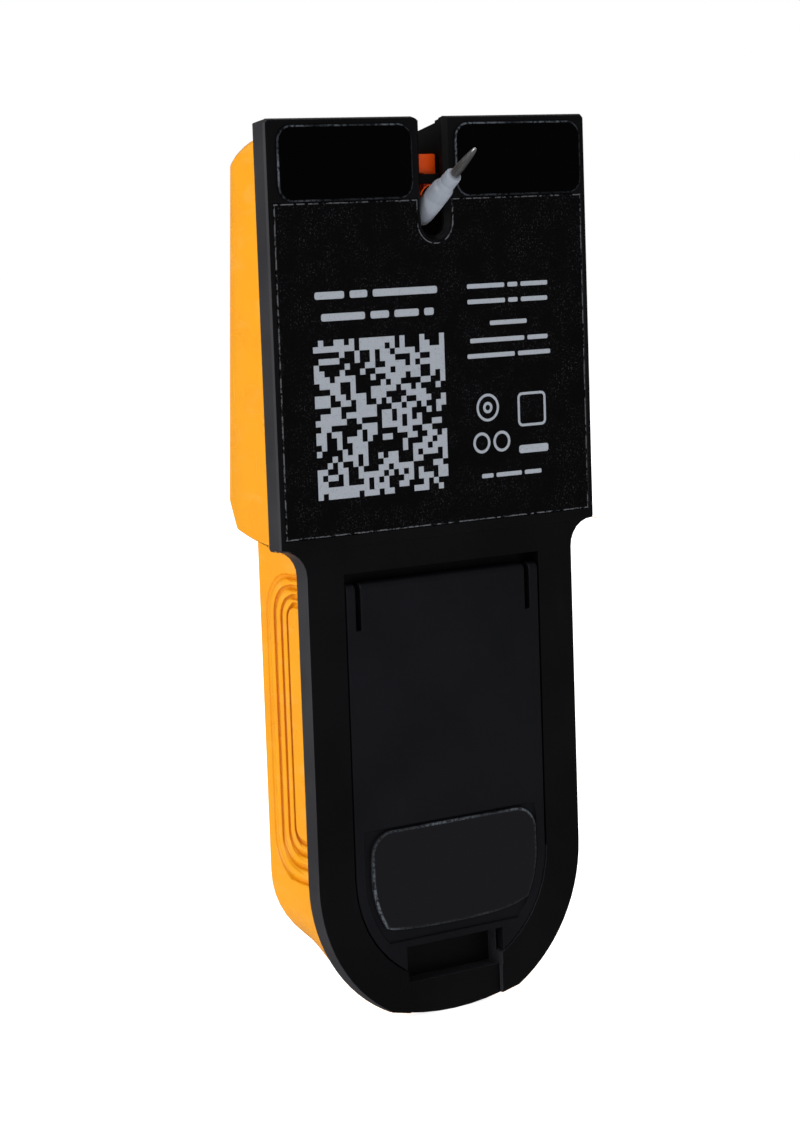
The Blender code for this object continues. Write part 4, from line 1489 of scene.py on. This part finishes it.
@dataclass
class DisplayUnit:
    """The yellow housing's display, its screen marks and its three light pipes."""

    shop: Workshop
    centre_z: float = 135.9
    low_y: float = 26.4
    low_z: float = 115.0
    slope: float = 5.2 / 56.0
    bars: int = 9

    def build(self) -> None:
        """Makes the display's pieces."""
        self.shop.refined("front_shell", Body.HOUSING, YELLOW, 0.3, 26.0)
        self.shop.refined("display_bezel", Body.HOUSING, CONTROL, 0.3)
        self.shop.dress(WINDOW, "display_window")
        self.shop.dress(LCD, "lcd_panel")
        self.shop.dress(DIFFUSER, "lcd_backlight")
        self.shop.dress(PIPE, "light_pipe_left", "light_pipe_centre", "light_pipe_right")
        self.shop.dress(LAMP, "indicator_led_left", "indicator_led_centre", "indicator_led_right")
        self.shop.mount("lcd_bars", self.level_bars(), Body.HOUSING, (), "lcd_screen")

    def face(self, z: float, behind: float) -> Matrix:
        """The matrix of a spot on the leaning face.

        Args:
            z: Its height.
            behind: How far behind the face it lies.

        Returns:
            The matrix from the face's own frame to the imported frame, in metres.
        """
        lean = Matrix.Rotation(math.atan(self.slope), 4, "X")
        spot = Vector((0.0, self.low_y - (z - self.low_z) * self.slope, z))
        step = Matrix.Translation((0.0, -behind, 0.0))
        return self.shop.place() @ Matrix.Translation(spot) @ lean @ step @ Matrix.Scale(1.0 / MM, 4)

    def level_bars(self) -> bpy.types.Mesh:
        """A row of level bars that grow towards the middle of the screen."""
        tree = NodeBuilder("lcd_bars")
        count = tree.size("Bars", self.bars)
        pitch = tree.size("Pitch", 4.3 * MM)
        steps = {"Count": count, "Start Location": (-4.3 * MM * (self.bars - 1) / 2.0, 0.0, 0.0)}
        line = tree.node("GeometryNodeMeshLine", None, steps)
        offset = tree.node("ShaderNodeCombineXYZ", None, {0: pitch})
        tree.feed(line.inputs["Offset"], offset.outputs[0])
        place = Field(tree, tree.node("GeometryNodeInputIndex").outputs[0])
        middle = (self.bars - 1) / 2.0
        rise = 1.0 - abs(place - middle) / (middle + 1.0)
        size = tree.node("ShaderNodeCombineXYZ", None, {0: 1.0, 1: 1.0, 2: rise})
        tile = tree.node("GeometryNodeMeshCube", None, {"Size": (2.6 * MM, 0.06 * MM, 14.0 * MM)})
        spread = {0: line.outputs[0], "Instance": tile.outputs[0], "Scale": size.outputs[0]}
        row = tree.node("GeometryNodeInstanceOnPoints", None, spread)
        mesh = tree.run(row.outputs[0], SEGMENT)
        mesh.transform(self.face(self.centre_z, 3.32))
        return mesh


@dataclass
class Controls:
    """The mode selector and the scan button, with the switches under them."""

    shop: Workshop

    def build(self) -> None:
        """Makes the controls."""
        self.shop.refined("mode_selector", Body.SELECTOR, CONTROL, 0.14)
        self.shop.refined("scan_button", Body.BUTTON, BUTTON, 0.3)
        self.shop.dress(SWITCH, "mode_switch", "scan_switch")


@dataclass
class Electronics:
    """The boards, their chips and their small parts."""

    shop: Workshop
    empty: float = 0.4
    seed: int = 11

    def build(self) -> None:
        """Makes the electronics."""
        self.shop.dress(BOARD, "main_board", "sensor_board")
        self.shop.dress(CHIP, "controller_chip", "signal_chip")
        self.shop.dress(COPPER, "sensor_plate_left", "sensor_plate_centre", "sensor_plate_right")
        self.shop.dress(INNER, "board_link", "buzzer")
        self.shop.mount("board_parts", self.small_parts(), Body.HOUSING, (), "chip_black")

    def small_parts(self) -> bpy.types.Mesh:
        """Seeded rows of small parts on the main board's front, beside the display."""
        low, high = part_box("main_board")
        tree = NodeBuilder("board_parts")
        seed = tree.size("Seed", self.seed)
        spots = {"Size X": 44.0 * MM, "Size Y": 7.0 * MM, "Vertices X": 15, "Vertices Y": 4}
        centre = (0.0, low.y - 0.45 * MM, high.z - 30.0 * MM)
        stood = tree.thinned_grid(spots, (1.8 * MM, 1.0 * MM, 0.9 * MM), self.empty, seed, centre)
        return tree.run(stood, CHIP)


@dataclass
class Power:
    """The battery, its tray, snap cap and leads."""

    shop: Workshop

    def build(self) -> None:
        """Makes the power pieces."""
        self.shop.refined("battery", Body.HOUSING, CAN, 0.4)
        self.shop.dress(STEEL, "battery_terminal_positive", "battery_terminal_negative")
        self.shop.dress(INNER, "battery_snap", "battery_tray", "lead_negative")
        self.shop.dress(RED_SKIN, "lead_positive")
        self.shop.dress(STEEL, "case_screw_top_left", "case_screw_top_right")
        self.shop.dress(STEEL, "case_screw_low_left", "case_screw_low_right")


# ---------------------------------------------------------------- studio


@dataclass
class Studio:
    """A pale floor, soft lights and the camera."""

    lens: float = 91.3
    spot: tuple[float, float, float] = (-338.1, -480.7, 171.0)
    right: tuple[float, float, float] = (0.8239, -0.5657, -0.0344)
    down: tuple[float, float, float] = (-0.0995, -0.0846, -0.9914)
    ahead: tuple[float, float, float] = (0.5579, 0.8203, -0.1260)

    def build(self, shop: Workshop) -> None:
        """Sets the whole studio.

        Args:
            shop: The workshop, for the rear face's place.
        """
        self.build_camera(shop)
        self.build_floor()
        self.build_sky()
        self.soft_light("left_bank", (-1.2, -0.05, 0.5), 0.8, 8.5)
        self.soft_light("rear_bank", (-0.35, -1.3, 1.1), 0.8, 2.6)
        self.soft_light("top_bank", (0.1, 0.1, 1.5), 0.9, 7.0)
        self.soft_light("front_bank", (0.8, 1.2, 0.9), 0.9, 9.0)
        bpy.context.scene.view_settings.view_transform = "Standard"

    def build_camera(self, shop: Workshop) -> None:
        """The camera, level with the tool's head and to its left.

        Args:
            shop: The workshop, for the rear face's place.
        """
        data = bpy.data.cameras.new("camera")
        data.lens = self.lens
        data.sensor_width = 36.0
        camera = bpy.data.objects.new("camera", data)
        axes = (self.right, tuple(-v for v in self.down), tuple(-v for v in self.ahead))
        turn = Matrix(axes).transposed().to_4x4()
        camera.matrix_world = Matrix.Translation(shop.place() @ Vector(self.spot)) @ turn
        bpy.context.scene.collection.objects.link(camera)
        bpy.context.scene.camera = camera

    def build_floor(self) -> None:
        """A wide pale floor with a faint tooth."""
        bm = bmesh.new()
        bmesh.ops.create_grid(bm, x_segments=1, y_segments=1, size=6.0)
        mesh = bpy.data.meshes.new("floor")
        bm.to_mesh(mesh)
        bm.free()
        mesh.materials.append(FLOOR.material())
        floor = bpy.data.objects.new("floor", mesh)
        floor.visible_glossy = False
        bpy.context.scene.collection.objects.link(floor)
        floor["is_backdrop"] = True

    def build_sky(self) -> None:
        """A white backdrop that lights the object only softly."""
        world = bpy.data.worlds.new("sky")
        world.use_nodes = True
        bpy.context.scene.world = world
        graph = Graph(world.node_tree)
        plain = world.node_tree.nodes["Background"]
        plain.inputs[0].default_value = (1.0, 1.0, 1.0, 1.0)
        plain.inputs[1].default_value = 0.16
        bright = graph.node("ShaderNodeBackground", None, {0: (1.0, 1.0, 1.0, 1.0), 1: 1.0})
        seen = graph.node("ShaderNodeLightPath").outputs["Is Camera Ray"]
        both = graph.node("ShaderNodeMixShader", None, {0: seen, 1: plain.outputs[0], 2: bright.outputs[0]})
        graph.feed(world.node_tree.nodes["World Output"].inputs[0], both.outputs[0])

    def soft_light(self, name: str, spot: tuple[float, float, float], size: float, power: float) -> None:
        """A square bank of light aimed at the middle of the tool.

        Args:
            name: Its name.
            spot: Where it stands, in metres.
            size: Its side.
            power: Its power in watts.
        """
        data = bpy.data.lights.new(name, "AREA")
        data.size = size
        data.energy = power
        light = bpy.data.objects.new(name, data)
        light.location = spot
        aim = Vector((0.0, 0.0, 0.1)) - Vector(spot)
        light.rotation_euler = aim.to_track_quat("-Z", "Y").to_euler()
        bpy.context.scene.collection.objects.link(light)


def clear_scene() -> None:
    """Removes whatever the scene starts with."""
    for thing in list(bpy.data.objects):
        bpy.data.objects.remove(thing)


def corners() -> list[list[float]]:
    """The shown object's box as plain numbers."""
    return [list(corner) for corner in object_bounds()]


def main() -> None:
    """Builds the looks in order."""
    logging.basicConfig(level=logging.INFO, format="%(name)s: %(message)s")
    clear_scene()
    shop = Workshop(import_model())
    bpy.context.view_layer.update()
    makers: list[Callable[[], None]] = [
        RearSide(shop).build,
        LabelMarks(shop).build,
        DoorSide(shop).build,
        DisplayUnit(shop).build,
        GripRibs(shop).build,
        MarkerUnit(shop).build,
        Controls(shop).build,
        Electronics(shop).build,
        Power(shop).build,
    ]
    for make in makers:
        make()
    Studio().build(shop)
    LOG.info("%d pieces made", len(shop.made))


if __name__ == "__main__":
    main()
